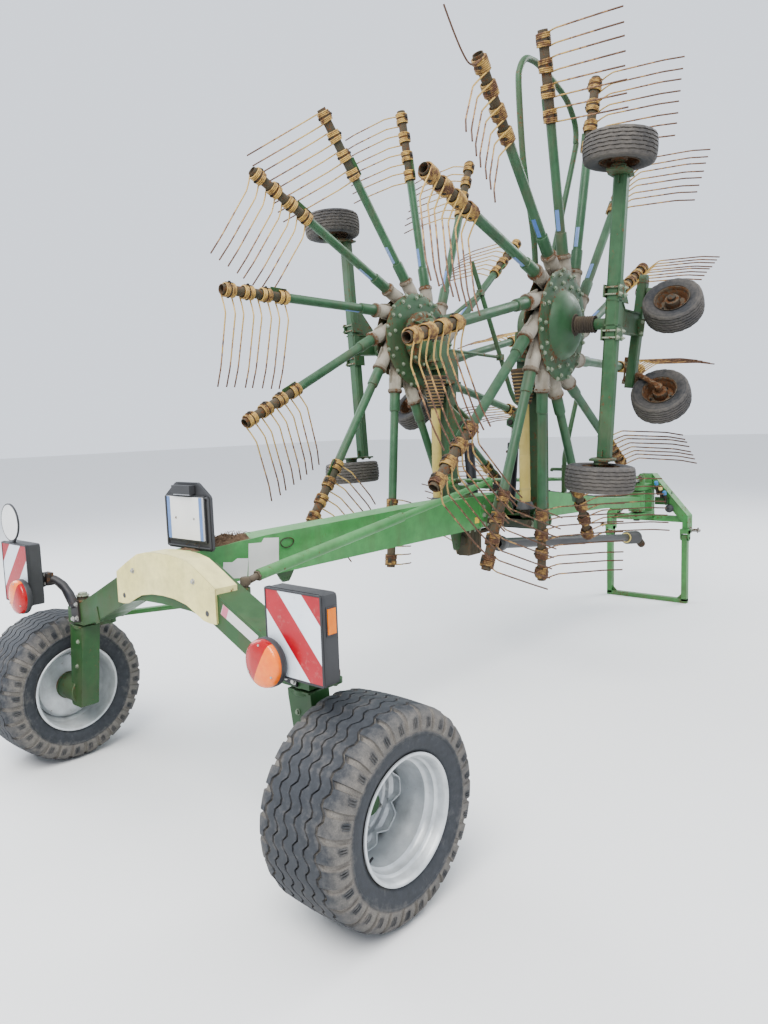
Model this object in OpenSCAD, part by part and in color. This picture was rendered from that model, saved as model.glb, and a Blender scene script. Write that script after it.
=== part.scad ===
// Trailed two-rotor rotary hay rake, both rotors folded up for the road.
// Millimetres, +Z up, +Y towards the tractor, +X to the right of travel.

/* [Running gear] */
// Distance from the middle of the machine to each rear wheel's middle
track_half = 1182; // [1050:1:1250]
// Outer radius of the rear tyres
tyre_r = 403; // [380:1:430]
// Width of the rear tyres
tyre_w = 396; // [360:1:410]
// Radius of the rear rims at the flange
rim_r = 236; // [230:1:240]
// Distance from the middle to each steering kingpin
kingpin_x = 870; // [860:1:880]

/* [Rotors] */
// Distance from the middle to each rotor's centre
rotor_x = 574; // [560:1:620]
// Distance of the rotor centres ahead of the rear axle
rotor_y = 2536; // [2450:1:2600]
// Height of the rotor centres when folded up
rotor_z = 2381; // [2300:1:2420]
// Outward lean of the folded rotors
lean = 3.725; // [2:0.005:5]
// Inward turn of the front edge of the folded rotors
toe = 4.225; // [3:0.005:5]
// Radius from a rotor's centre to the tips of its arms
arm_r = 1652; // [1600:1:1660]
// Distance by which each arm's line misses the rotor's centre
arm_off = 195; // [185:1:205]
// Number of arms on a rotor
arm_count = 13; // [11:1:13]
// Turn of the right rotor's first arm from upright
phase_r = -13.14; // [-27:0.01:27]
// Turn of the left rotor's first arm from upright
phase_l = 1.2; // [-27:0.01:27]
// Thickness of the tine wire
tine_t = 9; // [8:0.5:10]
// Radius of the hub flange
flange_r = 345; // [330:1:360]

/* [Gauge wheels] */
// Offset of the gauge wheels outward of the arms
post_n = 466; // [450:1:480]
// Offset of the gauge wheels behind the rotor's centre
post_y = 299; // [280:1:310]
// Distance from the rotor's centre to each gauge wheel along the beam
gauge_u = 913; // [890:1:940]
// Outer radius of the gauge wheels
gauge_r = 203; // [195:1:212]
// Width of the gauge wheels
gauge_w = 156; // [140:1:170]
// Outer radius of the castor wheels
castor_r = 188; // [180:1:190]

/* [Frame] */
// Width of the main beam
beam_w = 170; // [150:1:180]
// Height of the main beam
beam_h = 205; // [190:1:220]
// Distance of the hitch pivot ahead of the rear axle
pivot_y = 5120; // [5050:1:5150]
// Distance of the lower link pins ahead of the rear axle
hitch_y = 5400; // [5380:1:5420]
// Distance between the two lower link pin shoulders
hitch_w = 825; // [820:1:830]
// Height of the lower link pins
hitch_z = 700; // [680:1:720]
// Diameter of the lower link pins
hitch_d = 28; // [28:1:29]

/* [Hidden] */
$fn = 48;

// the origin is under the middle of the whole machine
front_y = 5500;
yc = (front_y - tyre_r) / 2;
green = [0.20, 0.43, 0.24];
cream = [0.86, 0.85, 0.70];
wheat = [0.78, 0.62, 0.30];
black = [0.10, 0.10, 0.10];
rubber = [0.13, 0.13, 0.14];
steel = [0.72, 0.73, 0.74];
beige = [0.55, 0.52, 0.46];
rust = [0.38, 0.27, 0.20];

// fold pivot of the booms
fold_x = 385;
fold_z = 1100;
boom_y = 2635;
// the cylinders' feet and eyes at rest
foot_x = 150;
foot_z = 1200;
eye_x = 200;
eye_z = 1780;
ram_y = 2635;
// drive shafts
shaft_x = 363;
shaft_y = 2487;
// castor beam: offset outward, ahead and up from the rotor's centre
castor_n = 311;
castor_y = 601;
castor_z = -35;
castor_lean = 40;
castor_rock = 3.6;
castor_gap = 290;
// wheel's place on its swivelling arm: outward and along the trail
castor_out = 241;
castor_trail = 120;
// offset beam of the gauge wheels
beam_n = 445;
beam_y = -195;
// fall of the loose yoke below level
yoke_drop = 35;
// hinge of the stand
fold_leg_y = 5360;
fold_leg_z = 630;

module place() translate([0, -yc, 0]) children();
module side(s) { if (s < 0) mirror([1, 0, 0]) children(); else children(); }
module at_rotor(s) side(s) translate([rotor_x, rotor_y, rotor_z]) rotate([0, lean, toe]) children();

function dist(p, q) = sqrt((q[0]-p[0])*(q[0]-p[0]) + (q[1]-p[1])*(q[1]-p[1]) + (q[2]-p[2])*(q[2]-p[2]));
// a round bar between two points
module rod(p, q, r, n = 32) {
  l = dist(p, q);
  translate(p) rotate([0, acos((q[2]-p[2]) / l), atan2(q[1]-p[1], q[0]-p[0])]) cylinder(h = l, r = r, $fn = n);
}
// a bent tube through several points
module bent(pts, r, n = 32) {
  for (i = [0:len(pts)-2]) rod(pts[i], pts[i+1], r, n);
  if (len(pts) > 2) for (i = [1:len(pts)-2]) translate(pts[i]) sphere(r = r * 1.04, $fn = n);
}
// a cylinder along X, Y or Z, centred
module cx(l, r, n = 48) rotate([0, 90, 0]) cylinder(h = l, r = r, center = true, $fn = n);
module cy(l, r, n = 48) rotate([90, 0, 0]) cylinder(h = l, r = r, center = true, $fn = n);
// a plate in the XZ plane, centred on y = 0
module xz(t) rotate([90, 0, 0]) linear_extrude(t, center = true) children();
// a plate in the YZ plane, centred on x = 0
module yz(t) rotate([90, 0, 90]) linear_extrude(t, center = true) children();

// swing of a tine arm for its place on the cam track
function cam(a) = let (t = ((a % 360) + 360) % 360)
  t < 140 ? 0 : t < 210 ? -72 * (t - 140) / 70 : t < 320 ? -72 : -72 * (355 - min(t, 355)) / 35;

// ---------------------------------------------------------------- frame
module main_beam() color(green) place() difference() {
  union() {
    // rear beam, level, then the tapered front beam down to the hitch pivot
    yz(beam_w) polygon([[60, 1075], [60, 1245], [480, 1270], [1600, 1290], [2560, 1290], [3350, 1235],
      [4280, 1100], [5000, 1040], [5000, 935], [4280, 1010], [3350, 1045], [3050, 1072], [2100, 1072], [560, 1066]]);
    translate([0, pivot_y, 985]) cylinder(h = 190, r = 75, center = true);
    yz(110) polygon([[4900, 940], [4900, 1035], [pivot_y, 1035], [pivot_y, 940]]);
    // lugs below
    for (y = [1083, 2200]) translate([0, y, 1020]) yz(20) polygon([[-60, 60], [60, 60], [20, -80], [-20, -80]]);
    // steering relay post on top of the beam
    translate([0, 2300, 1290]) cylinder(h = 60, r = 45);
    // hose rest on the front beam
    rod([26, 3650, 1190], [26, 3660, 1500], 22);
    rod([-90, 3655, 1385], [120, 3655, 1385], 15);
    bent([[26, 3660, 1480], [26, 3780, 1750], [26, 3880, 1960]], 19);
    // rear pivot of the steering bell crank
    translate([0, 250, 1010]) cylinder(h = 80, r = 45);
  }
  translate([0, pivot_y, 985]) cylinder(h = 400, r = 30.1, center = true);
}

module centre_frame() color(green) place() difference() {
  union() {
    for (s = [-1, 1]) side(s) {
      translate([beam_w/2, boom_y - 95, 1064]) cube([fold_x - beam_w/2 - 80, 190, 86]);
      for (y = [-95, 75]) translate([0, boom_y + y, 0]) xzp(20) polygon([[beam_w/2 + 60, 1150], [fold_x - 20, 1165], [fold_x + 30, 1145],
        [fold_x + 42, 1105], [fold_x + 36, 1073], [fold_x + 20, 1063], [beam_w/2, 1063], [beam_w/2, 1120]]);
      // ears that carry the cylinder's foot
      for (y = [-55, 40]) translate([0, boom_y + y, 0]) xzp(15) polygon([[beam_w/2, 1100], [foot_x + 60, 1130], [foot_x + 45, 1225], [foot_x, 1245], [beam_w/2, 1245]]);
    }
    yzblock();
  }
  for (s = [-1, 1]) side(s) {
    translate([fold_x, boom_y, fold_z]) cy(400, 30.05);
    translate([foot_x, boom_y, foot_z]) cy(400, 20.05);
  }
}
module xzp(t) rotate([90, 0, 0]) mirror([0, 0, 1]) linear_extrude(t) children();
module yzblock() for (s = [-1, 1]) side(s) translate([beam_w/2, boom_y - 150, 1064]) cube([14, 300, 176]);

module rear_axle() color(green) place() difference() {
  union() {
    translate([0, 20, 0]) xz(150) polygon(concat(
      [for (p = axle_half) [p[0], p[1]]], [for (i = [len(axle_half)-1:-1:0]) [-axle_half[i][0], axle_half[i][1]]]));
    for (s = [-1, 1]) translate([s * kingpin_x, 0, 795]) cylinder(h = 120, r = 55);
  }
  for (s = [-1, 1]) translate([s * kingpin_x, 0, 200]) cylinder(h = 800, r = 30.05);
}
// half outline of the portal axle, from the top middle down the outside and back inside
axle_half = [[0, 1215], [200, 1205], [385, 1110], [790, 922], [935, 885], [935, 800],
  [780, 800], [620, 850], [330, 985], [200, 1010], [0, 1015]];

module axle_hood() color(cream) place() difference() {
  union() {
  // top of the hood over the axle
  translate([0, -4, 0]) xz(116) strip(hood_top, 3.5);
  translate([0, -62, 0]) xz(8) polygon([[-390, 980], [-390, 1130], [-200, 1232], [-60, 1250], [60, 1250], [200, 1232], [390, 1130], [390, 980], [300, 985], [180, 1040], [0, 1058], [-180, 1040], [-300, 985]]);
  }
  for (s = [-1, 1]) translate([s * 330, -62, 1020]) cy(60, 12);
}
hood_top = [[-388, 1131], [-200, 1230], [-60, 1247], [60, 1247], [200, 1230], [388, 1131]];

module plate_board() color(black) place() {
  translate([0, 100, 0]) xz(20) polygon([[-175, 1250], [-175, 1500], [-85, 1562], [85, 1562], [175, 1500], [175, 1250]]);
  translate([-137.5, 76, 1297]) cube([275, 12, 200]);
  translate([-70, 60, 1510]) cube([140, 28, 40]);
  translate([-30, 110, 1249]) cube([60, 12, 190]);
}

module warning_boards() color([0.75, 0.12, 0.10]) place() for (s = [-1, 1]) side(s) {
  translate([932, -252, 920]) cube([294, 14, 325]);
  translate([935, -236, 925]) cube([290, 66, 315]);
  if (s < 0) {
    rod([1095, -255, 1352], [1095, -243, 1352], 100, 48);
    translate([1085, -241, 1246]) cube([20, 12, 110]);
  }
}

module tail_lamps() color([0.8, 0.2, 0.08]) place() for (s = [-1, 1]) side(s) {
  rod([966, -320, 977], [966, -256, 977], 90, 48);
}

module board_brackets() color(black) place() for (s = [-1, 1]) side(s)
  bent([[840, -60, 900], [900, -80, 1000], [960, -110, 1040], [1000, -165, 1045]], 24);

module gearbox() color([0.16, 0.22, 0.16]) place() union() {
  // casting under the beam, narrow so that the folded rotors pass beside it
  translate([-50, 2275, 890]) cube([100, 150, 182]);
  rod([0, 2424, 1032], [0, 2640, 1032], 17);
  rod([0, 2640, 1032], [0, 2722, 915], 17);
  translate([0, 2640, 1032]) sphere(17);
  rod([0, 2423, 1032], [0, 2438, 1032], 34);
  // cross shafts in their tubes, level with the fold pivots
  for (s = [-1, 1]) side(s) {
    rod([beam_w/2, shaft_y, 1107], [395, shaft_y, 1107], 27);
    rod([beam_w/2, shaft_y, 1107], [125, shaft_y, 1107], 40);
  }
}

module pto_shaft() color([0.2, 0.2, 0.22]) place() {
  rod([0, 2715, 913], [0, 2790, 905], 58);
  rod([0, 2788, 905], [0, 4900, 664], 40);
  rod([0, 4890, 665], [0, 5110, 640], 60);
  // drooping yoke for the tractor's stub
  translate([0, 5120, 640]) rotate([-90 - yoke_drop, 0, 0]) difference() {
    union() { translate([0, 0, -10]) cylinder(h = 60, r = 44); translate([0, 0, 40]) cylinder(h = 110, r = 36); }
    translate([0, 0, 60]) cylinder(h = 120, r = 17.45);
  }
}

// ---------------------------------------------------------------- hitch
module headstock() color(green) place() difference() {
  union() {
    // pivot forks and their pin
    for (z = [820, 1090]) translate([-70, pivot_y, z]) cube([140, hitch_y - pivot_y - 20, 55]);
    for (z = [820, 1090]) translate([0, pivot_y, z]) cylinder(h = 55, r = 70);
    translate([0, pivot_y, 800]) cylinder(h = 370, r = 30);
    translate([-60, hitch_y - 70, 800]) cube([120, 70, 430]);
    // the A of the hitch
    translate([0, hitch_y, 0]) xz(120) polygon([[-60, 1230], [60, 1230], [400, 840], [400, 668], [350, 668], [350, 790], [40, 1150],
      [-40, 1150], [-350, 790], [-350, 668], [-400, 668], [-400, 840]]);
    translate([0, hitch_y, 800]) cube([700, 60, 60], center = true);
    for (s = [-1, 1]) side(s) {
      translate([425, hitch_y, hitch_z]) cx(150, hitch_d/2);
      translate([hitch_w/2 - 21, hitch_y, hitch_z]) cx(42, 30);
      // clevis of the stand's hinge
      translate([334, fold_leg_y - 30, 668]) cube([82, 50, 50]);
      for (x = [334, 406]) translate([x, fold_leg_y - 30, 596]) cube([10, 54, 80]);
    }
    // top link's ears and pin
    for (x = [-45, 30]) translate([x, front_y - 45, 1150]) cube([15, 45, 75]);
    translate([0, front_y - 22, 1188]) cx(80, 12.5);
    // arm under the front steering rod's eye
    translate([0, pivot_y - 30, 1144]) cube([55, 60, 16]);
    translate([55, pivot_y, 1144]) cylinder(h = 50, r = 26);
  }
  for (s = [-1, 1]) translate([s * 375, fold_leg_y, fold_leg_z]) cx(120, 10.05);
}

module stand() color(green) place() difference() {
  union() {
    for (s = [-1, 1]) {
      translate([s * 375, fold_leg_y, fold_leg_z / 2]) cube([50, 60, fold_leg_z], center = true);
      translate([s * 375, fold_leg_y, fold_leg_z]) cx(50, 30);
      translate([s * 375, fold_leg_y, fold_leg_z]) cx(94, 10);
    }
    translate([0, fold_leg_y, 20]) cube([800, 60, 40], center = true);
  }
}

// ---------------------------------------------------------------- rear wheels
// a tyre about the X axis: ri is the bead, r the tread, w the widest part
module tyre_shape(r, w, ri, bw, n = 72) rotate([0, 90, 0]) rotate_extrude($fn = n) let (h = r - ri,
  q = [[ri, bw - 3], [ri + h*0.09, bw], [ri + h*0.23, w*0.47], [ri + h*0.45, w*0.5], [ri + h*0.66, w*0.5], [ri + h*0.84, w*0.475], [ri + h*0.945, w*0.425], [r - 1, w*0.35], [r, w*0.17]])
  polygon(concat(q, [for (i = [len(q)-1:-1:0]) [q[i][0], -q[i][1]]]));
module rim_shape() rotate([0, 90, 0]) rotate_extrude($fn = 72) let (f = rim_r)
  polygon([[f, 184], [f, 176], [f-16, 173], [f-19, 140], [f-40, 118], [f-46, -30], [f-21, -70], [f-19, -140], [f-16, -173], [f, -176],
    [f, -184], [f-12, -186], [f-26, -174], [f-28, -142], [f-30, -76], [f-52, -44], [f-60, -66], [150, -82], [112, -74], [74, -74],
    [74, -62], [110, -62], [150, -70], [f-66, -54], [f-56, -28], [f-49, 112], [f-28, 134], [f-26, 174], [f-12, 186]]);
module wheel_rim(s) color(steel) place() side(s) translate([track_half, 0, tyre_r]) rim_shape();
module wheel_tyre(s) color(rubber) place() side(s) translate([track_half, 0, tyre_r]) tyre_shape(tyre_r, tyre_w, rim_r - 15, 172);
module knuckle(s) color(green) place() side(s) difference() {
  union() {
    // kingpin in the end of the axle, the leg below it and the stub axle
    translate([kingpin_x, 0, 700]) cylinder(h = 240, r = 30);
    xz2(100) polygon([[kingpin_x - 64, 790], [kingpin_x + 64, 790], [kingpin_x + 110, 330], [kingpin_x + 10, 330]]);
    translate([kingpin_x, 0, 770]) cylinder(h = 20, r = 62);
    rod([kingpin_x + 60, 0, tyre_r], [track_half - 75, 0, tyre_r], 72, 48);
    rod([kingpin_x + 60, 0, tyre_r], [track_half + 10, 0, tyre_r], 44);
    // steering arm, forward
    translate([kingpin_x - 30, 20, 765]) cube([60, 130, 22]);
    translate([kingpin_x, 150, 765]) cylinder(h = 22, r = 30);
  }
  translate([kingpin_x, 150, 700]) cylinder(h = 200, r = 12);
}
module xz2(t) rotate([90, 0, 0]) linear_extrude(t, center = true) children();
module rim_right() wheel_rim(1);
module rim_left() wheel_rim(-1);
module tyre_right() wheel_tyre(1);
module tyre_left() wheel_tyre(-1);
module knuckle_right() knuckle(1);
module knuckle_left() knuckle(-1);

// ---------------------------------------------------------------- steering
module steer_lever() color(green) place() difference() {
  union() {
    translate([0, 2300, 1352]) cylinder(h = 18, r = 45);
    translate([-110, 2275, 1352]) cube([310, 50, 18]);
    translate([200, 2300, 1352]) cylinder(h = 18, r = 30);
    translate([-110, 2300, 1352]) cylinder(h = 18, r = 30);
  }
  translate([200, 2300, 1300]) cylinder(h = 100, r = 12);
  translate([-110, 2300, 1300]) cylinder(h = 100, r = 12);
}
module steer_rod() color(green) place() {
  translate([200, 2300, 1377]) cylinder(h = 30, r = 30);
  rod([200, 2285, 1394], [200, 1390, 1262], 20);
  rod([200, 1400, 1263], [200, 330, 1108], 28);
  rod([200, 340, 1109], [200, 270, 1090], 18);
  translate([200, 250, 1075]) cylinder(h = 30, r = 28);
}
module front_rod() color(green) place() {
  translate([-110, 2300, 1377]) cylinder(h = 30, r = 28);
  rod([-109, 2324, 1393], [53, 5097, 1213], 15);
  translate([55, pivot_y, 1200]) cylinder(h = 24, r = 24);
}
module axle_lever() color(green) place() difference() {
  union() {
    translate([0, 250, 985]) cylinder(h = 18, r = 45);
    translate([0, 225, 985]) cube([200, 50, 18]);
    translate([-25, 250, 985]) cube([50, 150, 18]);
    translate([200, 250, 985]) cylinder(h = 80, r = 24);
    translate([0, 400, 985]) cylinder(h = 18, r = 30);
  }
}
module tie_rod() color(green) place() {
  translate([0, 400, 945]) cylinder(h = 34, r = 26);
  for (s = [-1, 1]) {
    rod([s * 15, 396, 958], [s * (kingpin_x - 12), 154, 808], 16);
    translate([s * kingpin_x, 150, 792]) cylinder(h = 32, r = 22);
  }
}

// ---------------------------------------------------------------- booms
module boom(s) color(green) place() {
  side(s) difference() {
    union() {
      translate([fold_x - 63, boom_y - 60, fold_z]) cube([106, 120, 960]);
      translate([fold_x, boom_y, fold_z]) cy(120, 43);
      // ears for the ram's eye
      for (y = [-50, 30]) translate([0, boom_y + y, 0]) xzp(20) polygon([[fold_x - 59, eye_z + 150], [eye_x, eye_z + 40], [eye_x - 35, eye_z + 10], [eye_x - 35, eye_z - 20],
        [eye_x, eye_z - 35], [fold_x - 59, eye_z - 130]]);
    }
    translate([fold_x, boom_y, fold_z]) cy(400, 30.05);
    translate([eye_x, boom_y, eye_z]) cy(400, 20.05);
  }
  // fold pin
  side(s) translate([fold_x, boom_y, fold_z]) cy(230, 30);
  // gear housing and rotor carrier
  at_rotor(s) {
    rod([-118, 0, 0], [-60, 0, 0], 205, 96);
    rod([-215, 0, 0], [-117, 0, 0], 150, 96);
    rod([-62, 0, 0], [170, 0, 0], 42);
    rod([169, 0, 0], [400, 0, 0], 34);
    translate([-270, -40, -230]) cube([150, 80, 200]);
    translate([-265, 0, -330]) cube([125, 150, 230]);
  }
}
module shaft(s) color(wheat) place() side(s) {
  rod([shaft_x, shaft_y, 1215], [shaft_x, shaft_y, 1900], 36);
  rod([shaft_x, shaft_y, 1895], [shaft_x, shaft_y, 2125], 84);
  rod([shaft_x, shaft_y, 1205], [shaft_x, shaft_y, 1216], 62);
  rod([shaft_x, shaft_y, 1150], [shaft_x, shaft_y, 1206], 32);
}
// guard bow: a bent tube in the plane of the rotor, on its inner side
bow_r = 19;
bow_pts = [[-30, 140], [-95, 500], [-228, 800], [-310, 1010], [-388, 1340], [-380, 1430], [-330, 1495], [-250, 1520], [-105, 1522],
  [230, 1460], [370, 1385], [430, 1320], [445, 1240], [415, 1100], [60, 140]];
module bow(s) color(green) place() at_rotor(s) translate([-130, 0, 0]) yz(2 * bow_r) strip(bow_pts, bow_r);
// the left one is drawn in: a straight tube ahead of the rotor, bent at its lower end, on two stays
tube_pts = [[566, 617], [655, 395], [955, -370], [1005, -445], [1070, -478]];
module bow_drawn_in() color(green) place() at_rotor(-1) translate([-130, 0, 0]) union() {
  yz(2 * bow_r) strip(tube_pts, bow_r);
  rod([0, 60, 60], [0, 655, 395], 15);
  rod([0, 90, -60], [0, 848, -98], 13);
}
module strip(p, h) let (n = len(p) - 1) polygon(concat([for (i = [0:n]) edge(p, i, h)], [for (i = [n:-1:0]) edge(p, i, -h)]));
function edge(p, i, h) = p[i] + h * (i == 0 ? nrm(p[0], p[1]) : i == len(p)-1 ? nrm(p[i-1], p[i]) : miter(p[i-1], p[i], p[i+1]));
module post(s) color(green) place() at_rotor(s) {
  // eight-sided beam with a flange at each end that carries a gauge wheel's axle
  translate([beam_n, beam_y, -800]) linear_extrude(1600) polygon([[-40, -22], [-22, -35], [22, -35], [40, -22], [40, 22], [22, 35], [-22, 35], [-40, 22]]);
  for (z = [-1, 1]) {
    translate([0, 0, z > 0 ? 799 : -813]) linear_extrude(14) polygon([[390, -140], [500, -140], [530, -250], [520, -350], [412, -350], [385, -250]]);
    rod([post_n, -post_y, z * 805], [post_n, -post_y, z * (gauge_u + 20)], 28);
  }
  // bracket from the beam past the rotor's shaft to the rocker of the castors
  translate([0, 0, -35]) linear_extrude(153) polygon([[405, -232], [487, -232], [487, -150], [345, 282], [345, 640], [280, 640], [280, 260], [405, -130]]);
  difference() {
    union() {
      at_rocker() translate([-31, -35, -342]) cube([62, 70, 690]);
      at_rocker() rod([-22, 0, 372], [26, 0, 372], 30);
      at_rocker() translate([-22, -30, 330]) cube([48, 60, 45]);
    }
    for (z = [-1, 1]) at_rocker() translate([-60, 0, z * castor_gap]) rotate([0, 90, 0]) cylinder(h = 120, r = 15.05);
  }
}
module at_rocker() translate([castor_n, castor_y, castor_z]) rotate([0, castor_rock, 0]) children();
module boom_right() boom(1);
module boom_left() boom(-1);
module shaft_right() shaft(1);
module shaft_left() shaft(-1);
module bow_right() bow(1);
module bow_left() bow_drawn_in();
module post_right() post(1);
module post_left() post(-1);

// fold cylinders
module barrel(s) color(black) place() side(s) translate([foot_x, ram_y, foot_z]) rotate([0, atan2(eye_x - foot_x, eye_z - foot_z), 0]) {
  difference() {
    union() { cy(70, 32); rod([0, 0, 20], [0, 0, 440], 38); }
    translate([0, 0, 40]) cylinder(h = 500, r = 20.1);
  }
  cy(100, 19.95);
}
module ram(s) color(steel) place() side(s) translate([foot_x, ram_y, foot_z]) rotate([0, atan2(eye_x - foot_x, eye_z - foot_z), 0]) {
  l = sqrt((eye_x-foot_x)*(eye_x-foot_x) + (eye_z-foot_z)*(eye_z-foot_z));
  rod([0, 0, 60], [0, 0, l - 25], 20);
  translate([0, 0, l]) difference() { cy(50, 32); cy(80, 19); }
}
module barrel_right() barrel(1);
module barrel_left() barrel(-1);
module ram_right() ram(1);
module ram_left() ram(-1);

// ---------------------------------------------------------------- rotors
module hub(s) color(green) place() at_rotor(s) difference() {
  union() {
    rotate([0, 90, 0]) rotate_extrude($fn = 72)
      polygon([[0, -50], [flange_r, -50], [flange_r, -42], [210, -42], [210, 42], [flange_r, 42], [flange_r, 50], [222, 52], [212, 90], [170, 125], [90, 136], [0, 136]]);
  }
  cx(400, 42.1);
}
// frame of an arm: z along it, starting nearest the rotor's centre
arm_turn = asin(arm_off / arm_r);
arm_len = sqrt(arm_r * arm_r - arm_off * arm_off);
module at_arm(s, k) rotate([-((s > 0 ? phase_r : phase_l) + k * 360 / arm_count - arm_turn), 0, 0]) translate([0, arm_off, 0]) children();
module arms(s) color(green) place() at_rotor(s) for (k = [0:arm_count-1]) at_arm(s, k) {
  translate([0, 0, 160]) cylinder(h = 225, r = 42, $fn = 32);
  translate([0, 0, 384]) cylinder(h = 14, r = 49, $fn = 32);
  translate([0, 0, 397]) cylinder(h = 125, r = 37, $fn = 32);
  translate([0, 0, 521]) cylinder(h = arm_len - 521, r = 29, $fn = 32);
}
// a flat bent wire in the plane across the arm, as a polygon of even width
prong_pts = [[20, 34], [130, -45], [440, -50], [565, -35]];
function nrm(a, b) = let (l = sqrt(pow(b[0]-a[0], 2) + pow(b[1]-a[1], 2))) [-(b[1]-a[1])/l, (b[0]-a[0])/l];
function miter(a, b, c) = let (n1 = nrm(a, b), n2 = nrm(b, c), m = n1 + n2, d = m[0]*n1[0] + m[1]*n1[1]) m / d;
function off(p, h) = [p[0] + h*nrm(p[0], p[1]), p[1] + h*miter(p[0], p[1], p[2]), p[2] + h*miter(p[1], p[2], p[3]), p[3] + h*nrm(p[2], p[3])];
module prong() linear_extrude(tine_t) polygon(concat(off(prong_pts, tine_t/2), [for (i = [3:-1:0]) off(prong_pts, -tine_t/2)[i]]));
tine_rs = [1175, 1245, 1305, 1375, 1435, 1505, 1565, 1635];
module tines(s) color(wheat) place() at_rotor(s) for (k = [0:arm_count-1]) let (a = (s > 0 ? phase_r : phase_l) + k * 360 / arm_count)
  at_arm(s, k) for (r = tine_rs) translate([0, 0, sqrt(r * r - arm_off * arm_off)]) rotate([0, 0, cam(a)]) {
    difference() { translate([0, 0, -22]) cylinder(h = 44, r = 43, $fn = 32); translate([0, 0, -30]) cylinder(h = 60, r = 30, $fn = 32); }
    translate([0, 0, -tine_t/2]) prong();
  }
module hub_right() hub(1);
module hub_left() hub(-1);
module arms_right() arms(1);
module arms_left() arms(-1);
module tines_right() tines(1);
module tines_left() tines(-1);

// ---------------------------------------------------------------- gauge and castor wheels
module small_wheel(hub_r = 28.1, r = gauge_r, w = gauge_w) {
  difference() {
    union() {
      rotate([0, -90, 0]) tyre_shape(r, w, 103.5, 64, 48);
      rotate_extrude($fn = 48) let (q = [[115, 72], [115, 66], [103, 63], [102, 40], [88, 25]], v = [[80, 5], [80, 28], [94, 44], [95, 60], [108, 73]])
        polygon(concat(q, [for (i = [4:-1:0]) [q[i][0], -q[i][1]]], [for (i = [4:-1:0]) [v[i][0], -v[i][1]]], [[44, -5], [44, 5]], v));
      cylinder(h = 120, r = 45, center = true);
    }
    cylinder(h = 400, r = hub_r, center = true);
  }
}
module gauge(s, z) color(rubber) place() at_rotor(s) translate([post_n, -post_y, z * gauge_u]) difference() { small_wheel(); cylinder(h = 400, r = 28.1, center = true); }
module gauge_top_right() gauge(1, 1);
module gauge_top_left() gauge(-1, 1);
module gauge_low_right() gauge(1, -1);
module gauge_low_left() gauge(-1, -1);
// castor: swivel axis along the rotor's axis, wheel on a bent arm
module at_castor(s, z) at_rotor(s) at_rocker() translate([0, 0, z * castor_gap]) children();
module castor(s, z) color(green) place() at_castor(s, z) {
  rod([33, 0, 0], [64, 0, 0], 28);
  rod([-36, 0, 0], [34, 0, 0], 15);
  // bent arm down to the wheel's hub
  rotate([-castor_lean, 0, 0]) {
    bent([[50, 0, 0], [64, 98 * z, -22], [castor_out, 104 * z, -castor_trail]], 16);
    rod([castor_out, 112 * z, -castor_trail], [castor_out, -45 * z, -castor_trail], 19.9);
  }
}
module trail(s, z) color(rubber) place() at_castor(s, z) rotate([-castor_lean, 0, 0]) translate([castor_out, 0, -castor_trail]) rotate([90 * z, 0, 0]) difference() { small_wheel(20, castor_r, 150); cylinder(h = 400, r = 20, center = true); }
module castor_top_right() castor(1, 1);
module castor_top_left() castor(-1, 1);
module castor_low_right() castor(1, -1);
module castor_low_left() castor(-1, -1);
module trail_top_right() trail(1, 1);
module trail_top_left() trail(-1, 1);
module trail_low_right() trail(1, -1);
module trail_low_left() trail(-1, -1);

// ---- the pieces
main_beam();
centre_frame();
rear_axle();
axle_hood();
plate_board();
warning_boards();
tail_lamps();
board_brackets();
gearbox();
pto_shaft();
headstock();
stand();
knuckle_right();
knuckle_left();
rim_right();
rim_left();
tyre_right();
tyre_left();
steer_lever();
steer_rod();
front_rod();
axle_lever();
tie_rod();
boom_right();
boom_left();
shaft_right();
shaft_left();
bow_right();
bow_left();
post_right();
post_left();
barrel_right();
barrel_left();
ram_right();
ram_left();
hub_right();
hub_left();
arms_right();
arms_left();
tines_right();
tines_left();
gauge_top_right();
gauge_top_left();
gauge_low_right();
gauge_low_left();
castor_top_right();
castor_top_left();
castor_low_right();
castor_low_left();
trail_top_right();
trail_top_left();
trail_low_right();
trail_low_left();
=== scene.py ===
import math
import random

import bpy
import bmesh
import numpy as np
from mathutils import Vector, Matrix


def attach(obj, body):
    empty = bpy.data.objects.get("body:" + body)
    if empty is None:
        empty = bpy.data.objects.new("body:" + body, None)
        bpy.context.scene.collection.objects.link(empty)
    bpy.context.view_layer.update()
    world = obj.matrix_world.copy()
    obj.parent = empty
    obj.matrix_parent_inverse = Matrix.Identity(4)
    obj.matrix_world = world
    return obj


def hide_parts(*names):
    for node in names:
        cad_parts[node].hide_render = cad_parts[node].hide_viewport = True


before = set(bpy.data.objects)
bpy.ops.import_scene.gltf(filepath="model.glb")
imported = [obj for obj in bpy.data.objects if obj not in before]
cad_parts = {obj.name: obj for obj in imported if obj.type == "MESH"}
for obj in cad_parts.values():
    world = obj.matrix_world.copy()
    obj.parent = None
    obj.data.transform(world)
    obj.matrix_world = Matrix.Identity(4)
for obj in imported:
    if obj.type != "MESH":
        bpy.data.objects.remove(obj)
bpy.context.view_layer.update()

random.seed(7)

# ------------------------------------------------------------------ places, in millimetres from the rear axle
YC = 2548.5


def P(x, y, z):
    return Vector((x / 1000, (y - YC) / 1000, z / 1000))


def V(*a):
    return Vector(a)


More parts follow.
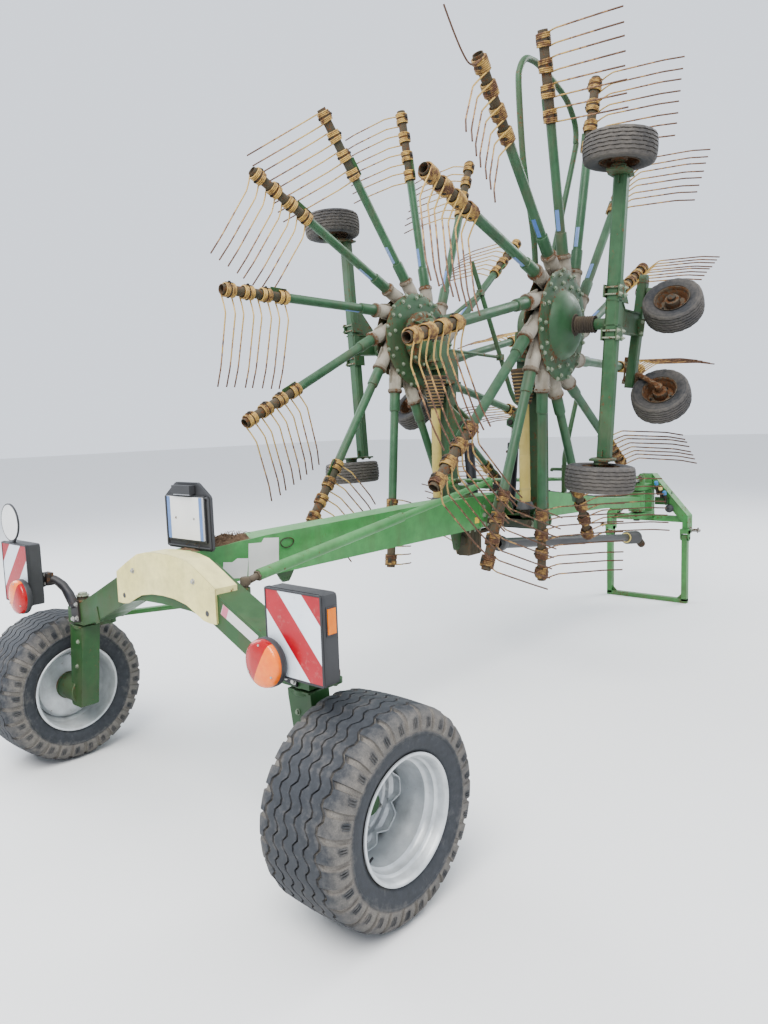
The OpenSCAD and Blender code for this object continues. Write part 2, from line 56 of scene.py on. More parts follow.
LEAN, TOE = math.radians(3.725), math.radians(4.225)
ROTOR = (574, 2536, 2381)
ARM_R, ARMS, FLANGE = 1.652, 13, 0.345
PHASE = {1: -13.14, -1: 1.2}
TINE_RS = [1.175, 1.245, 1.305, 1.375, 1.435, 1.505, 1.565, 1.635]
SIDES = ((1, "right"), (-1, "left"))


def rotor_frame(s):
    """Matrix of the rotor's frame: x outward along its axis, y ahead, z up. A mirrored side has a mirrored frame."""
    n = V(math.cos(LEAN) * math.cos(TOE), math.cos(LEAN) * math.sin(TOE), -math.sin(LEAN))
    y = V(-math.sin(TOE), math.cos(TOE), 0)
    u = n.cross(y)
    m = Matrix.Identity(4)
    for i, c in enumerate((n, y, u)):
        for j in range(3):
            m[j][i] = c[j]
    m.translation = P(*ROTOR)
    return (Matrix.Diagonal((s, 1, 1, 1)) @ m)


RF = {1: rotor_frame(1), -1: rotor_frame(-1)}


def cam_angle(a):
    t = a % 360
    if t < 140:
        return 0.0
    if t < 210:
        return -72 * (t - 140) / 70
    if t < 320:
        return -72.0
    return -72 * (355 - min(t, 355)) / 35


# ------------------------------------------------------------------ mesh making
class Mesh:
    """Collects shapes into one mesh. Each face carries the index of a material, each point a few numbers for the materials."""

    def __init__(self):
        self.v, self.f, self.m, self.a, self.sm = [], [], [], [], []

    def add(self, verts, faces, mat=0, attr=None, flip=False, smooth=True):
        b = len(self.v)
        self.v += [tuple(p) for p in verts]
        for i, f in enumerate(faces):
            g = [b + k for k in f]
            self.f.append(g[::-1] if flip else g)
        self.m += [mat] * len(faces)
        self.sm += [smooth] * len(faces)
        if attr is None:
            attr = [0.0] * len(verts)
        elif isinstance(attr, (int, float)):
            attr = [float(attr)] * len(verts)
        self.a += list(attr)

    # a tube along points, with parallel carried rings
    def tube(self, pts, r, n=12, mat=0, caps=True, attr=None, closed=False, M=None, flat=1.0, up=None):
        pts = [Vector(p) for p in pts]
        if M is not None:
            pts = [M @ p for p in pts]
        k = len(pts)
        rs = r if isinstance(r, (list, tuple)) else [r] * k
        tang = []
        for i in range(k):
            if closed:
                t = pts[(i + 1) % k] - pts[i - 1]
            else:
                t = pts[min(i + 1, k - 1)] - pts[max(i - 1, 0)]
            tang.append(t.normalized() if t.length > 1e-9 else Vector((0, 0, 1)))
        ref = Vector(up) if up is not None else Vector((0, 0, 1))
        if abs(tang[0].dot(ref)) > 0.9:
            ref = Vector((1, 0, 0))
        a = (ref - tang[0] * ref.dot(tang[0])).normalized()
        verts, ring_attr = [], []
        for i in range(k):
            if i:
                q = tang[i - 1].rotation_difference(tang[i])
                a = q @ a
                a = (a - tang[i] * a.dot(tang[i])).normalized()
            b = tang[i].cross(a)
            for j in range(n):
                th = 2 * math.pi * j / n
                verts.append(pts[i] + a * (rs[i] * math.cos(th)) + b * (rs[i] * flat * math.sin(th)))
            ring_attr += [(attr[i] if isinstance(attr, (list, tuple)) else (attr or 0.0))] * n
        faces = []
        for i in range(k if closed else k - 1):
            i2 = (i + 1) % k
            for j in range(n):
                j2 = (j + 1) % n
                faces.append([i * n + j, i * n + j2, i2 * n + j2, i2 * n + j])
        if caps and not closed:
            faces.append(list(range(n))[::-1])
            faces.append([(k - 1) * n + j for j in range(n)])
        flip = M is not None and M.to_3x3().determinant() < 0
        self.add(verts, faces, mat, ring_attr, flip=False)

    # a shape turned about an axis: profile of (radius, along)
    def lathe(self, prof, M, n=48, mat=0, attr=None, closed=False, a0=0.0, a1=360.0):
        full = abs(a1 - a0) >= 359.9
        steps = n if full else n + 1
        verts, ra = [], []
        for i in range(steps):
            th = math.radians(a0 + (a1 - a0) * i / n)
            for r, z in prof:
                verts.append(M @ Vector((r * math.cos(th), r * math.sin(th), z)))
            ra += list(attr) if isinstance(attr, (list, tuple)) else [attr or 0.0] * len(prof)
        k = len(prof)
        faces = []
        for i in range(n):
            i2 = (i + 1) % steps
            for j in range(k if closed else k - 1):
                j2 = (j + 1) % k
                if prof[j][0] < 1e-9 and prof[j2][0] < 1e-9:
                    continue
                if prof[j][0] < 1e-9:
                    faces.append([i * k + j, i2 * k + j2, i * k + j2])
                elif prof[j2][0] < 1e-9:
                    faces.append([i * k + j, i2 * k + j, i * k + j2])
                else:
                    faces.append([i * k + j, i2 * k + j, i2 * k + j2, i * k + j2])
        self.add(verts, faces, mat, ra, flip=(M.to_3x3().determinant() < 0))

    # a flat outline pushed to both sides of its plane
    def plate(self, poly, t, M, mat=0, attr=None, centre=True):
        area = sum(poly[i][0] * poly[(i + 1) % len(poly)][1] - poly[(i + 1) % len(poly)][0] * poly[i][1] for i in range(len(poly)))
        if area < 0:
            poly = poly[::-1]
        k = len(poly)
        z0, z1 = (-t / 2, t / 2) if centre else (0, t)
        verts = [M @ Vector((x, y, z0)) for x, y in poly] + [M @ Vector((x, y, z1)) for x, y in poly]
        faces = [list(range(k))[::-1], [k + j for j in range(k)]]
        faces += [[j, (j + 1) % k, k + (j + 1) % k, k + j] for j in range(k)]
        self.add(verts, faces, mat, attr, flip=(M.to_3x3().determinant() < 0), smooth=False)

    def box(self, c, size, M=None, mat=0, attr=None):
        M = Matrix.Identity(4) if M is None else M
        x, y, z = (s / 2 for s in size)
        T = M @ Matrix.Translation(Vector(c))
        self.plate([(-x, -y), (x, -y), (x, y), (-x, y)], 2 * z, T, mat, attr)

    # a section lofted through frames: sections is a list of lists of points
    def loft(self, sections, mat=0, caps=True, attr=None):
        n, k = len(sections[0]), len(sections)
        verts = [p for s in sections for p in s]
        faces = []
        for i in range(k - 1):
            for j in range(n):
                faces.append([i * n + j, i * n + (j + 1) % n, (i + 1) * n + (j + 1) % n, (i + 1) * n + j])
        if caps:
            faces.append(list(range(n))[::-1])
            faces.append([(k - 1) * n + j for j in range(n)])
        self.add(verts, faces, mat, attr, smooth=False)

    # hexagon head on a washer, at a point, looking along a direction
    def bolt(self, p, d, r=0.012, h=None, mat=0, washer=True, nut=False, stud=0.0):
        h = h or r * 0.9
        M = look(p, d)
        z = 0.0
        if washer:
            self.lathe([(r * 1.45, 0), (r * 1.45, r * 0.22), (0, r * 0.22)], M, 16, mat)
            z = r * 0.22
        hexa = [(r * math.cos(math.radians(60 * i + 13)), r * math.sin(math.radians(60 * i + 13))) for i in range(6)]
        v = [M @ V(x, y, z) for x, y in hexa] + [M @ V(x, y, z + h * 0.85) for x, y in hexa] + [M @ V(x * 0.84, y * 0.84, z + h) for x, y in hexa]
        f = [[i, (i + 1) % 6, 6 + (i + 1) % 6, 6 + i] for i in range(6)] + [[6 + i, 6 + (i + 1) % 6, 12 + (i + 1) % 6, 12 + i] for i in range(6)] + [[12 + i for i in range(6)]]
        self.add(v, f, mat, smooth=False)
        if stud:
            self.lathe([(r * 0.5, z), (r * 0.5, z + h + stud), (r * 0.42, z + h + stud + r * 0.1), (0, z + h + stud + r * 0.1)], M, 10, mat)

    def build(self, name, mats, body, replaces=(), bevel=0.0, angle=38, segs=2, merge=0.0, solid=False, subsurf=0):
        me = bpy.data.meshes.new(name)
        me.from_pydata([tuple(v) for v in self.v], [], self.f)
        for m in mats:
            me.materials.append(m)
        me.polygons.foreach_set("material_index", self.m)
        me.polygons.foreach_set("use_smooth", self.sm)
        at = me.attributes.new("wear", "FLOAT", "POINT")
        at.data.foreach_set("value", np.array(self.a, np.float32))
        me.validate()
        bm = bmesh.new()
        bm.from_mesh(me)
        if merge:
            bmesh.ops.remove_doubles(bm, verts=bm.verts, dist=merge)
        bmesh.ops.recalc_face_normals(bm, faces=bm.faces)
        bm.to_mesh(me)
        bm.free()
        me.polygons.foreach_set("use_smooth", [True] * len(me.polygons))
        me.set_sharp_from_angle(angle=math.radians(angle))
        ob = bpy.data.objects.new(name, me)
        bpy.context.scene.collection.objects.link(ob)
        if bevel:
            md = ob.modifiers.new("bevel", "BEVEL")
            md.width, md.segments, md.limit_method, md.angle_limit = bevel, segs, "ANGLE", math.radians(38)
            md.harden_normals = True
            md.use_clamp_overlap = True
        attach(ob, body)
        if replaces:
            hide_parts(*replaces)
        return ob


def look(p, d, up=(0, 0, 1)):
    """Matrix at p whose z runs along d."""
    d = Vector(d).normalized()
    u = Vector(up)
    if abs(d.dot(u)) > 0.95:
        u = Vector((0, 1, 0))
    x = u.cross(d).normalized()
    y = d.cross(x)
    m = Matrix.Identity(4)
    for i, c in enumerate((x, y, d)):
        for j in range(3):
            m[j][i] = c[j]
    m.translation = Vector(p)
    return m


def axes(o, x, y, z):
    m = Matrix.Identity(4)
    for i, c in enumerate((x, y, z)):
        for j in range(3):
            m[j][i] = c[j]
    m.translation = Vector(o)
    return m


def arc(points, r, n=6):
    """A path through points with its corners rounded to radius r."""
    pts = [Vector(p) for p in points]
    out = [pts[0]]
    for i in range(1, len(pts) - 1):
        rr = r[i - 1] if isinstance(r, (list, tuple)) else r
        a, b, c = pts[i - 1], pts[i], pts[i + 1]
        u, w = (a - b), (c - b)
        lu, lw = u.length, w.length
        u.normalize(), w.normalize()
        ang = math.acos(max(-1, min(1, u.dot(w))))
        if ang > math.radians(178):
            out.append(b)
            continue
        d = min(rr / math.tan(ang / 2), lu * 0.49, lw * 0.49)
        R = d * math.tan(ang / 2)
        p0, p1 = b + u * d, b + w * d
        cen = b + (u + w).normalized() * (R / math.sin(ang / 2))
        for k in range(n + 1):
            t = k / n
            q = (p0 - cen).lerp(p1 - cen, t)
            out.append(cen + q.normalized() * R)
    out.append(pts[-1])
    return out


def spline(points, n=10):
    """A smooth curve through points."""
    pts = [Vector(p) for p in points]
    out = []
    for i in range(len(pts) - 1):
        p0, p1, p2, p3 = pts[max(i - 1, 0)], pts[i], pts[i + 1], pts[min(i + 2, len(pts) - 1)]
        for k in range(n):
            t = k / n
            out.append(0.5 * ((2 * p1) + (p2 - p0) * t + (2 * p0 - 5 * p1 + 4 * p2 - p3) * t * t + (3 * p1 - p0 - 3 * p2 + p3) * t ** 3))
    out.append(pts[-1])
    return out


# ------------------------------------------------------------------ materials
def new_mat(name):
    m = bpy.data.materials.new(name)
    m.use_nodes = True
    nt = m.node_tree
    b = nt.nodes["Principled BSDF"]
    return m, nt, b


class N:
    """Short way to write node graphs."""

    def __init__(self, nt):
        self.nt = nt
        self.tc = nt.nodes.new("ShaderNodeTexCoord")
        self.co = self.tc.outputs["Object"]

    def n(self, kind, **k):
        x = self.nt.nodes.new(kind)
        for a, b in k.items():
            setattr(x, a, b)
        return x

    def put(self, sock, v):
        if isinstance(v, bpy.types.NodeSocket):
            self.nt.links.new(v, sock)
        else:
            sock.default_value = v

    def noise(self, scale, detail=4.0, rough=0.55, dist=0.0, co=None, out="Fac"):
        x = self.n("ShaderNodeTexNoise")
        self.put(x.inputs["Vector"], co or self.co)
        x.inputs["Scale"].default_value = scale
        x.inputs["Detail"].default_value = detail
        x.inputs["Roughness"].default_value = rough
        x.inputs["Distortion"].default_value = dist
        return x.outputs[out]

    def map(self, v, a, b, c=0.0, d=1.0):
        x = self.n("ShaderNodeMapRange")
        self.put(x.inputs[0], v)
        for i, q in enumerate((a, b, c, d)):
            x.inputs[i + 1].default_value = q
        return x.outputs[0]

    def math(self, op, a, b=0.0, c=0.0, clamp=False):
        x = self.n("ShaderNodeMath", operation=op, use_clamp=clamp)
        self.put(x.inputs[0], a)
        self.put(x.inputs[1], b)
        self.put(x.inputs[2], c)
        return x.outputs[0]

    def mix(self, f, a, b):
        x = self.n("ShaderNodeMix", data_type="RGBA")
        self.put(x.inputs[0], f)
        self.put(x.inputs[6], a if isinstance(a, bpy.types.NodeSocket) else (*a, 1))
        self.put(x.inputs[7], b if isinstance(b, bpy.types.NodeSocket) else (*b, 1))
        return x.outputs[2]

    def mul(self, c, f):
        """Colour times a number."""
        x = self.n("ShaderNodeMix", data_type="RGBA", blend_type="MULTIPLY")
        x.inputs[0].default_value = 1.0
        self.put(x.inputs[6], c)
        y = self.n("ShaderNodeCombineColor")
        for i in range(3):
            self.put(y.inputs[i], f)
        self.put(x.inputs[7], y.outputs[0])
        return x.outputs[2]

    def sep(self, v):
        x = self.n("ShaderNodeSeparateXYZ")
        self.put(x.inputs[0], v)
        return x.outputs

    def stretch(self, sx, sy, sz, co=None):
        x = self.n("ShaderNodeMapping")
        self.put(x.inputs["Vector"], co or self.co)
        x.inputs["Scale"].default_value = (sx, sy, sz)
        return x.outputs[0]

    def attr(self, name="wear"):
        x = self.n("ShaderNodeAttribute", attribute_name=name)
        return x.outputs["Fac"]

    def bump(self, h, strength=0.3, dist=0.002, normal=None):
        x = self.n("ShaderNodeBump")
        x.inputs["Strength"].default_value = strength
        x.inputs["Distance"].default_value = dist
        self.put(x.inputs["Height"], h)
        if normal is not None:
            self.put(x.inputs["Normal"], normal)
        return x.outputs[0]


RUST = (0.085, 0.036, 0.016)
MUD = (0.11, 0.083, 0.055)


def painted(name, c1, c2, dust=(0.30, 0.29, 0.24), dust_amt=0.5, rust=0.5, rough=0.36, grime=0.4, metal=0.0, coat=0.0):
    m, nt, b = new_mat(name)
    g = N(nt)
    big = g.noise(3.1, 6.0, 0.6)
    mid = g.noise(17.0, 6.0, 0.62)
    fine = g.noise(140.0, 4.0, 0.6)
    col = g.mix(g.map(big, 0.35, 0.65), c1, c2)
    col = g.mul(col, g.map(mid, 0.3, 0.7, 0.84, 1.12))
    wear = g.attr()
    # grime in long drips and blotches
    streak = g.noise(9.0, 6.0, 0.65, 0.2, g.stretch(1.0, 1.0, 0.22))
    gr = g.math("MULTIPLY", g.map(g.math("ADD", streak, g.math("MULTIPLY", wear, 0.35)), 0.52, 0.80), grime, clamp=True)
    col = g.mix(gr, col, MUD)
    # pale dust on what looks up; with the sky-lit green paint's pale green dust colour this lighter top is painted top
    # light
    nz = g.sep(g.tc.outputs["Normal"])[2]
    du = g.math("MULTIPLY", g.math("MULTIPLY", g.map(nz, 0.1, 0.95), g.map(mid, 0.25, 0.75, 0.45, 1.0)), dust_amt, clamp=True)
    col = g.mix(du, col, dust)
    # chipped paint with rust in it
    chip = g.math("ADD", g.noise(48.0, 6.0, 0.7), g.math("MULTIPLY", g.noise(7.0, 3.0), 0.35))
    chip = g.math("ADD", chip, g.math("MULTIPLY", wear, 0.34))
    ru = g.map(chip, 0.90 - 0.07 * rust, 0.96 - 0.07 * rust)
    col = g.mix(ru, col, g.mix(g.map(fine, 0.3, 0.7), RUST, (0.17, 0.085, 0.04)))
    g.put(b.inputs["Base Color"], col)
    r = g.math("ADD", g.map(mid, 0.3, 0.7, rough - 0.06, rough + 0.1), g.math("MULTIPLY", g.math("ADD", g.math("ADD", gr, du), ru), 0.35), clamp=True)
    g.put(b.inputs["Roughness"], r)
    b.inputs["Metallic"].default_value = metal
    if coat:
        b.inputs["Coat Weight"].default_value = coat
        b.inputs["Coat Roughness"].default_value = 0.25
    h = g.math("ADD", g.math("MULTIPLY", fine, 0.35), g.math("SUBTRACT", g.math("MULTIPLY", gr, 0.8), ru))
    g.put(b.inputs["Normal"], g.bump(h, 0.22, 0.0015))
    return m


GREEN = painted("green_paint", (0.022, 0.075, 0.022), (0.033, 0.100, 0.032), dust=(0.10, 0.155, 0.085), dust_amt=0.36, rust=0.35)
GREEN_DARK = painted("green_paint_dusty", (0.030, 0.082, 0.036), (0.046, 0.110, 0.050), dust=(0.15, 0.19, 0.135), dust_amt=0.45, rust=0.8, grime=0.5, rough=0.45)
GREEN_ARM = painted("green_paint_arms", (0.030, 0.088, 0.040), (0.050, 0.120, 0.060), dust=(0.14, 0.18, 0.125), dust_amt=0.42, rust=-0.2, grime=0.6, rough=0.42)
GREEN_ROD2 = painted("green_paint_rod", (0.065, 0.225, 0.070), (0.085, 0.270, 0.090), dust=(0.22, 0.36, 0.21), dust_amt=0.4, rust=-0.8, grime=0.2)
# sky-lit copy of the green paint: its lighter base colours are painted sky light, and its pale green dust colour on
# upward faces is painted top light
GREEN_LIT = painted("green_paint_sky_lit", (0.065, 0.235, 0.070), (0.090, 0.290, 0.095), dust=(0.25, 0.40, 0.23), dust_amt=0.5, rust=0.2)
CREAM = painted("cream_paint", (0.70, 0.63, 0.28), (0.76, 0.69, 0.34), dust=(0.74, 0.70, 0.46), dust_amt=0.3, rust=0.0, grime=0.10, rough=0.38)
CAST = painted("dusty_casting", (0.29, 0.262, 0.215), (0.35, 0.32, 0.265), dust=(0.40, 0.37, 0.31), dust_amt=0.4, rust=-1.2, grime=0.7, rough=0.72)
SOCKET_RIM = painted("grimy_collar", (0.060, 0.050, 0.040), (0.095, 0.080, 0.064), dust=(0.20, 0.18, 0.145), dust_amt=0.5, rust=-1.6, grime=0.8, rough=0.75)
DARK_IRON = painted("dark_iron", (0.020, 0.020, 0.018), (0.045, 0.041, 0.034), dust=(0.14, 0.125, 0.10), dust_amt=0.5, rust=0.5, grime=0.6, rough=0.55, metal=0.25)
GEAR_GREEN = painted("gear_casting", (0.022, 0.032, 0.022), (0.040, 0.050, 0.034), dust=(0.11, 0.10, 0.075), dust_amt=0.6, rust=-1.0, grime=0.9, rough=0.7)
BLACK_PAINT = painted("black_paint", (0.012, 0.013, 0.017), (0.022, 0.023, 0.030), dust=(0.13, 0.13, 0.13), dust_amt=0.45, rust=0.3, grime=0.25, rough=0.4)
RUSTY_RIM = painted("rusty_rim", (0.085, 0.070, 0.054), (0.14, 0.118, 0.092), dust=(0.22, 0.19, 0.145), dust_amt=0.45, rust=0.6, grime=0.9, rough=0.8)
BOLT = painted("zinc_bolt", (0.42, 0.42, 0.41), (0.55, 0.55, 0.53), dust=(0.45, 0.42, 0.35), dust_amt=0.4, rust=1.2, grime=0.5, rough=0.42, metal=0.8)
BOLT_GREEN = painted("painted_bolt", (0.20, 0.26, 0.18), (0.30, 0.33, 0.26), dust=(0.4, 0.4, 0.33), dust_amt=0.5, rust=1.5, grime=0.5, rough=0.5, metal=0.3)
RIM_SILVER = painted("silver_paint", (0.50, 0.53, 0.55), (0.60, 0.62, 0.63), dust=(0.5, 0.49, 0.44), dust_amt=0.25, rust=0.25, grime=0.30, rough=0.34, metal=0.35)
MUDDY = painted("muddy_iron", (0.105, 0.088, 0.070), (0.150, 0.128, 0.102), dust=(0.22, 0.19, 0.155), dust_amt=0.5, rust=-2.0, grime=0.6, rough=0.85)
ARM_TIP = painted("rusted_arm_end", (0.034, 0.042, 0.026), (0.075, 0.060, 0.042), dust=(0.15, 0.13, 0.10), dust_amt=0.5, rust=0.5, grime=0.7, rough=0.75)
BELLOWS = painted("bellows_rubber", (0.030, 0.026, 0.023), (0.055, 0.046, 0.038), dust=(0.22, 0.17, 0.12), dust_amt=0.6, rust=-2.0, grime=0.8, rough=0.8)


def plastic(name, c1, c2, rough=0.5, dust=0.3, dust_col=(0.2, 0.2, 0.2), sheen=0.0):
    m, nt, b = new_mat(name)
    g = N(nt)
    mid = g.noise(9.0, 6.0, 0.6)
    fine = g.noise(260.0, 3.0, 0.6)
    col = g.mix(g.map(mid, 0.3, 0.7), c1, c2)
    nz = g.sep(g.tc.outputs["Normal"])[2]
    du = g.math("MULTIPLY", g.math("MULTIPLY", g.map(nz, -0.2, 0.9), g.map(g.noise(26.0, 6.0, 0.7), 0.35, 0.7)), dust, clamp=True)
    st = g.math("MULTIPLY", g.map(g.noise(14.0, 6.0, 0.7, 0.2, g.stretch(1, 1, 0.15)), 0.55, 0.8), dust, clamp=True)
    wear = g.math("MULTIPLY", g.attr(), 0.6, clamp=True)
    f = g.math("MAXIMUM", g.math("MAXIMUM", du, st), wear)
    col = g.mix(f, col, dust_col)
    g.put(b.inputs["Base Color"], col)
    g.put(b.inputs["Roughness"], g.math("ADD", g.map(mid, 0.3, 0.7, rough - 0.06, rough + 0.08), g.math("MULTIPLY", f, 0.3), clamp=True))
    g.put(b.inputs["Normal"], g.bump(fine, 0.12, 0.0008))
    return m


BLACK = plastic("black_plastic", (0.022, 0.023, 0.026), (0.036, 0.037, 0.041), 0.46, 0.35, (0.15, 0.15, 0.15))
GUARD = plastic("yellow_plastic", (0.40, 0.315, 0.085), (0.49, 0.39, 0.13), 0.45, 0.4, (0.30, 0.265, 0.16))
PTO_BLACK = plastic("pto_plastic", (0.030, 0.031, 0.036), (0.060, 0.060, 0.066), 0.42, 0.5, (0.20, 0.19, 0.17))
HOSE = plastic("hose_rubber", (0.012, 0.012, 0.013), (0.025, 0.025, 0.026), 0.5, 0.4, (0.12, 0.11, 0.10))
WHITE_STICK = plastic("blank_label", (0.72, 0.73, 0.72), (0.80, 0.80, 0.79), 0.4, 0.45, (0.28, 0.24, 0.19))
BLUE_STICK = plastic("blue_label", (0.055, 0.13, 0.36), (0.10, 0.20, 0.46), 0.35, 0.4, (0.36, 0.42, 0.46))
PINK_STICK = plastic("pink_label", (0.55, 0.10, 0.19), (0.66, 0.16, 0.26), 0.4, 0.3, (0.4, 0.3, 0.28))
YELLOW_TAG = plastic("yellow_tag", (0.80, 0.52, 0.03), (0.86, 0.60, 0.06), 0.4, 0.3, (0.4, 0.34, 0.2))
BLUE_CAP = plastic("blue_cap", (0.02, 0.16, 0.40), (0.03, 0.22, 0.5), 0.4, 0.3, (0.2, 0.25, 0.3))
YELLOW_GRIP = plastic("yellow_grip", (0.72, 0.55, 0.16), (0.80, 0.64, 0.25), 0.45, 0.4, (0.4, 0.36, 0.25))
RED_BROWN = plastic("red_brown_plate", (0.17, 0.055, 0.045), (0.24, 0.09, 0.07), 0.5, 0.5, (0.25, 0.18, 0.15))


def rubber(name, base=(0.030, 0.031, 0.034), dusty=(0.20, 0.175, 0.145), amount=0.8):
    """Worn rubber with dry soil where the wear number is high."""
    m, nt, b = new_mat(name)
    g = N(nt)
    big = g.noise(7.0, 6.0, 0.65)
    mid = g.noise(38.0, 6.0, 0.7)
    fine = g.noise(210.0, 3.0, 0.6)
    wear = g.attr()
    f = g.math("ADD", g.math("MULTIPLY", wear, 0.95), g.map(mid, 0.35, 0.75, -0.16, 0.22))
    f = g.math("ADD", f, g.map(big, 0.35, 0.7, -0.18, 0.20))
    f = g.map(f, 0.10, 0.85)
    f = g.math("MULTIPLY", f, amount, clamp=True)
    c = g.mix(g.map(mid, 0.3, 0.7), base, tuple(x * 1.7 for x in base))
    c = g.mix(f, c, g.mix(g.map(fine, 0.3, 0.7), tuple(x * 0.8 for x in dusty), tuple(x * 1.2 for x in dusty)))
    g.put(b.inputs["Base Color"], c)
    g.put(b.inputs["Roughness"], g.math("ADD", g.map(mid, 0.3, 0.7, 0.55, 0.68), g.math("MULTIPLY", f, 0.25), clamp=True))
    b.inputs["Specular IOR Level"].default_value = 0.35
    g.put(b.inputs["Normal"], g.bump(g.math("ADD", mid, g.math("MULTIPLY", fine, 0.5)), 0.25, 0.0015))
    return m


RING_GOLD = plastic("golden_ring", (0.26, 0.165, 0.05), (0.36, 0.24, 0.09), 0.55, 0.5, (0.16, 0.10, 0.06))
TYRE = rubber("rear_tyre_rubber", (0.034, 0.037, 0.042), (0.20, 0.185, 0.165), 0.85)
SMALL_TYRE = rubber("small_tyre_rubber", (0.030, 0.031, 0.034), (0.15, 0.135, 0.118), 0.8)


def tine_wire():
    m, nt, b = new_mat("tine_wire")
    g = N(nt)
    wear = g.attr()
    mid = g.noise(24.0, 6.0, 0.7)
    fine = g.noise(190.0, 4.0, 0.6)
    f = g.map(g.math("ADD", wear, g.map(mid, 0.3, 0.7, -0.28, 0.28)), 0.42, 0.68)
    yellow = g.mix(g.map(mid, 0.3, 0.7), (0.40, 0.255, 0.075), (0.55, 0.39, 0.14))
    brown = g.mix(g.map(fine, 0.3, 0.7), (0.060, 0.032, 0.020), (0.17, 0.095, 0.060))
    tan = (0.30, 0.165, 0.085)
    c = g.mix(g.map(f, 0.0, 0.6), yellow, tan)
    c = g.mix(g.map(f, 0.5, 1.0), c, brown)
    chip = g.map(g.noise(75.0, 5.0, 0.7), 0.60, 0.68)
    c = g.mix(chip, c, (0.10, 0.055, 0.032))
    g.put(b.inputs["Base Color"], c)
    g.put(b.inputs["Roughness"], g.map(f, 0, 1, 0.42, 0.66))
    b.inputs["Metallic"].default_value = 0.12
    g.put(b.inputs["Normal"], g.bump(fine, 0.25, 0.001))
    return m


WIRE = tine_wire()


def coil_wire():
    """Spring coils: golden paint at the edges, brown rust over most of the turns."""
    m, nt, b = new_mat("coil_wire")
    g = N(nt)
    mid = g.noise(16.0, 6.0, 0.7)
    fine = g.noise(120.0, 5.0, 0.7)
    wear = g.attr()
    f = g.map(g.math("ADD", g.math("ADD", mid, g.math("MULTIPLY", fine, 0.35)), g.math("MULTIPLY", wear, 0.30)), 0.70, 0.90)
    gold = g.mix(g.map(fine, 0.3, 0.7), (0.36, 0.22, 0.060), (0.52, 0.36, 0.12))
    brown = g.mix(g.map(fine, 0.35, 0.65), (0.055, 0.026, 0.015), (0.15, 0.075, 0.045))
    g.put(b.inputs["Base Color"], g.mix(f, gold, brown))
    g.put(b.inputs["Roughness"], g.map(f, 0, 1, 0.45, 0.75))
    g.put(b.inputs["Normal"], g.bump(fine, 0.3, 0.0012))
    return m


COIL = coil_wire()


def chrome(name="cylinder_rod"):
    m, nt, b = new_mat(name)
    g = N(nt)
    fine = g.noise(300.0, 2.0, 0.5, 0.0, g.stretch(1, 1, 0.05))
    g.put(b.inputs["Base Color"], g.mix(g.map(g.noise(12.0), 0.4, 0.7), (0.62, 0.63, 0.64), (0.48, 0.47, 0.45)))
    b.inputs["Metallic"].default_value = 1.0
    g.put(b.inputs["Roughness"], g.map(fine, 0.3, 0.7, 0.12, 0.26))
    return m


CHROME = chrome()


def stripes(name, sx):
    """Red and white slanted bars on a board, with the slant mirrored by sx."""
    m, nt, b = new_mat(name)
    g = N(nt)
    s = g.sep(g.co)
    # across the bars: a line that runs down towards the middle of the vehicle's outside
    x = g.math("MULTIPLY", s[0], float(sx))
    d = g.math("ADD", g.math("MULTIPLY", x, 0.742), g.math("MULTIPLY", s[2], 0.670))
    return m, nt, b, g, d


def board_sheet(sx, x0, z0, w, h):
    m, nt, b, g, d = stripes("warning_stripes_" + ("right" if sx > 0 else "left"), sx)
    # distance across the bars from the board's inner upper corner
    c = 0.742 * (x0 + 0.061) + 0.670 * z0 - 0.5 * 0.0917
    t = g.math("DIVIDE", g.math("SUBTRACT", d, c), 0.0917)
    k = g.math("PINGPONG", t, 1.0)
    f = g.map(k, 0.485, 0.515)
    dirt = g.map(g.noise(34.0, 6.0, 0.7), 0.56, 0.82, 0.0, 0.45)
    red = g.mix(g.map(g.noise(9.0), 0.3, 0.7), (0.34, 0.005, 0.013), (0.41, 0.008, 0.018))
    white = g.mix(g.map(g.noise(12.0), 0.3, 0.7), (0.66, 0.72, 0.78), (0.74, 0.78, 0.83))
    col = g.mix(f, red, white)
    col = g.mix(dirt, col, (0.35, 0.30, 0.25))
    g.put(b.inputs["Base Color"], col)
    g.put(b.inputs["Roughness"], g.map(g.noise(60.0), 0.3, 0.7, 0.28, 0.42))
    b.inputs["Coat Weight"].default_value = 0.4
    b.inputs["Coat Roughness"].default_value = 0.15
    # tiny cells of the reflecting sheet
    vo = g.n("ShaderNodeTexVoronoi")
    g.put(vo.inputs["Vector"], g.co)
    vo.inputs["Scale"].default_value = 260.0
    g.put(b.inputs["Normal"], g.bump(vo.outputs["Distance"], 0.15, 0.0006))
    return m


def lens(name, c1, c2, rough=0.12):
    m, nt, b = new_mat(name)
    g = N(nt)
    c = g.mix(g.map(g.noise(40.0), 0.3, 0.7), c1, c2)
    dirt = g.map(g.noise(30.0, 6.0, 0.7), 0.58, 0.85, 0.0, 0.4)
    g.put(b.inputs["Base Color"], g.mix(dirt, c, (0.22, 0.15, 0.10)))
    g.put(b.inputs["Roughness"], g.map(g.noise(80.0), 0.3, 0.7, rough, rough + 0.15))
    b.inputs["Coat Weight"].default_value = 0.35
    b.inputs["Coat Roughness"].default_value = 0.08
    w = g.n("ShaderNodeTexWave", wave_type="BANDS", bands_direction="Z")
    g.put(w.inputs["Vector"], g.co)
    w.inputs["Scale"].default_value = 60.0
    g.put(b.inputs["Normal"], g.bump(w.outputs["Fac"], 0.25, 0.001))
    return m


LENS_RED = lens("red_lens", (0.34, 0.006, 0.006), (0.42, 0.010, 0.008))
LENS_ORANGE = lens("orange_lens", (0.80, 0.15, 0.02), (0.86, 0.22, 0.03))
LENS_AMBER = lens("amber_reflector", (0.66, 0.16, 0.002), (0.74, 0.20, 0.004))


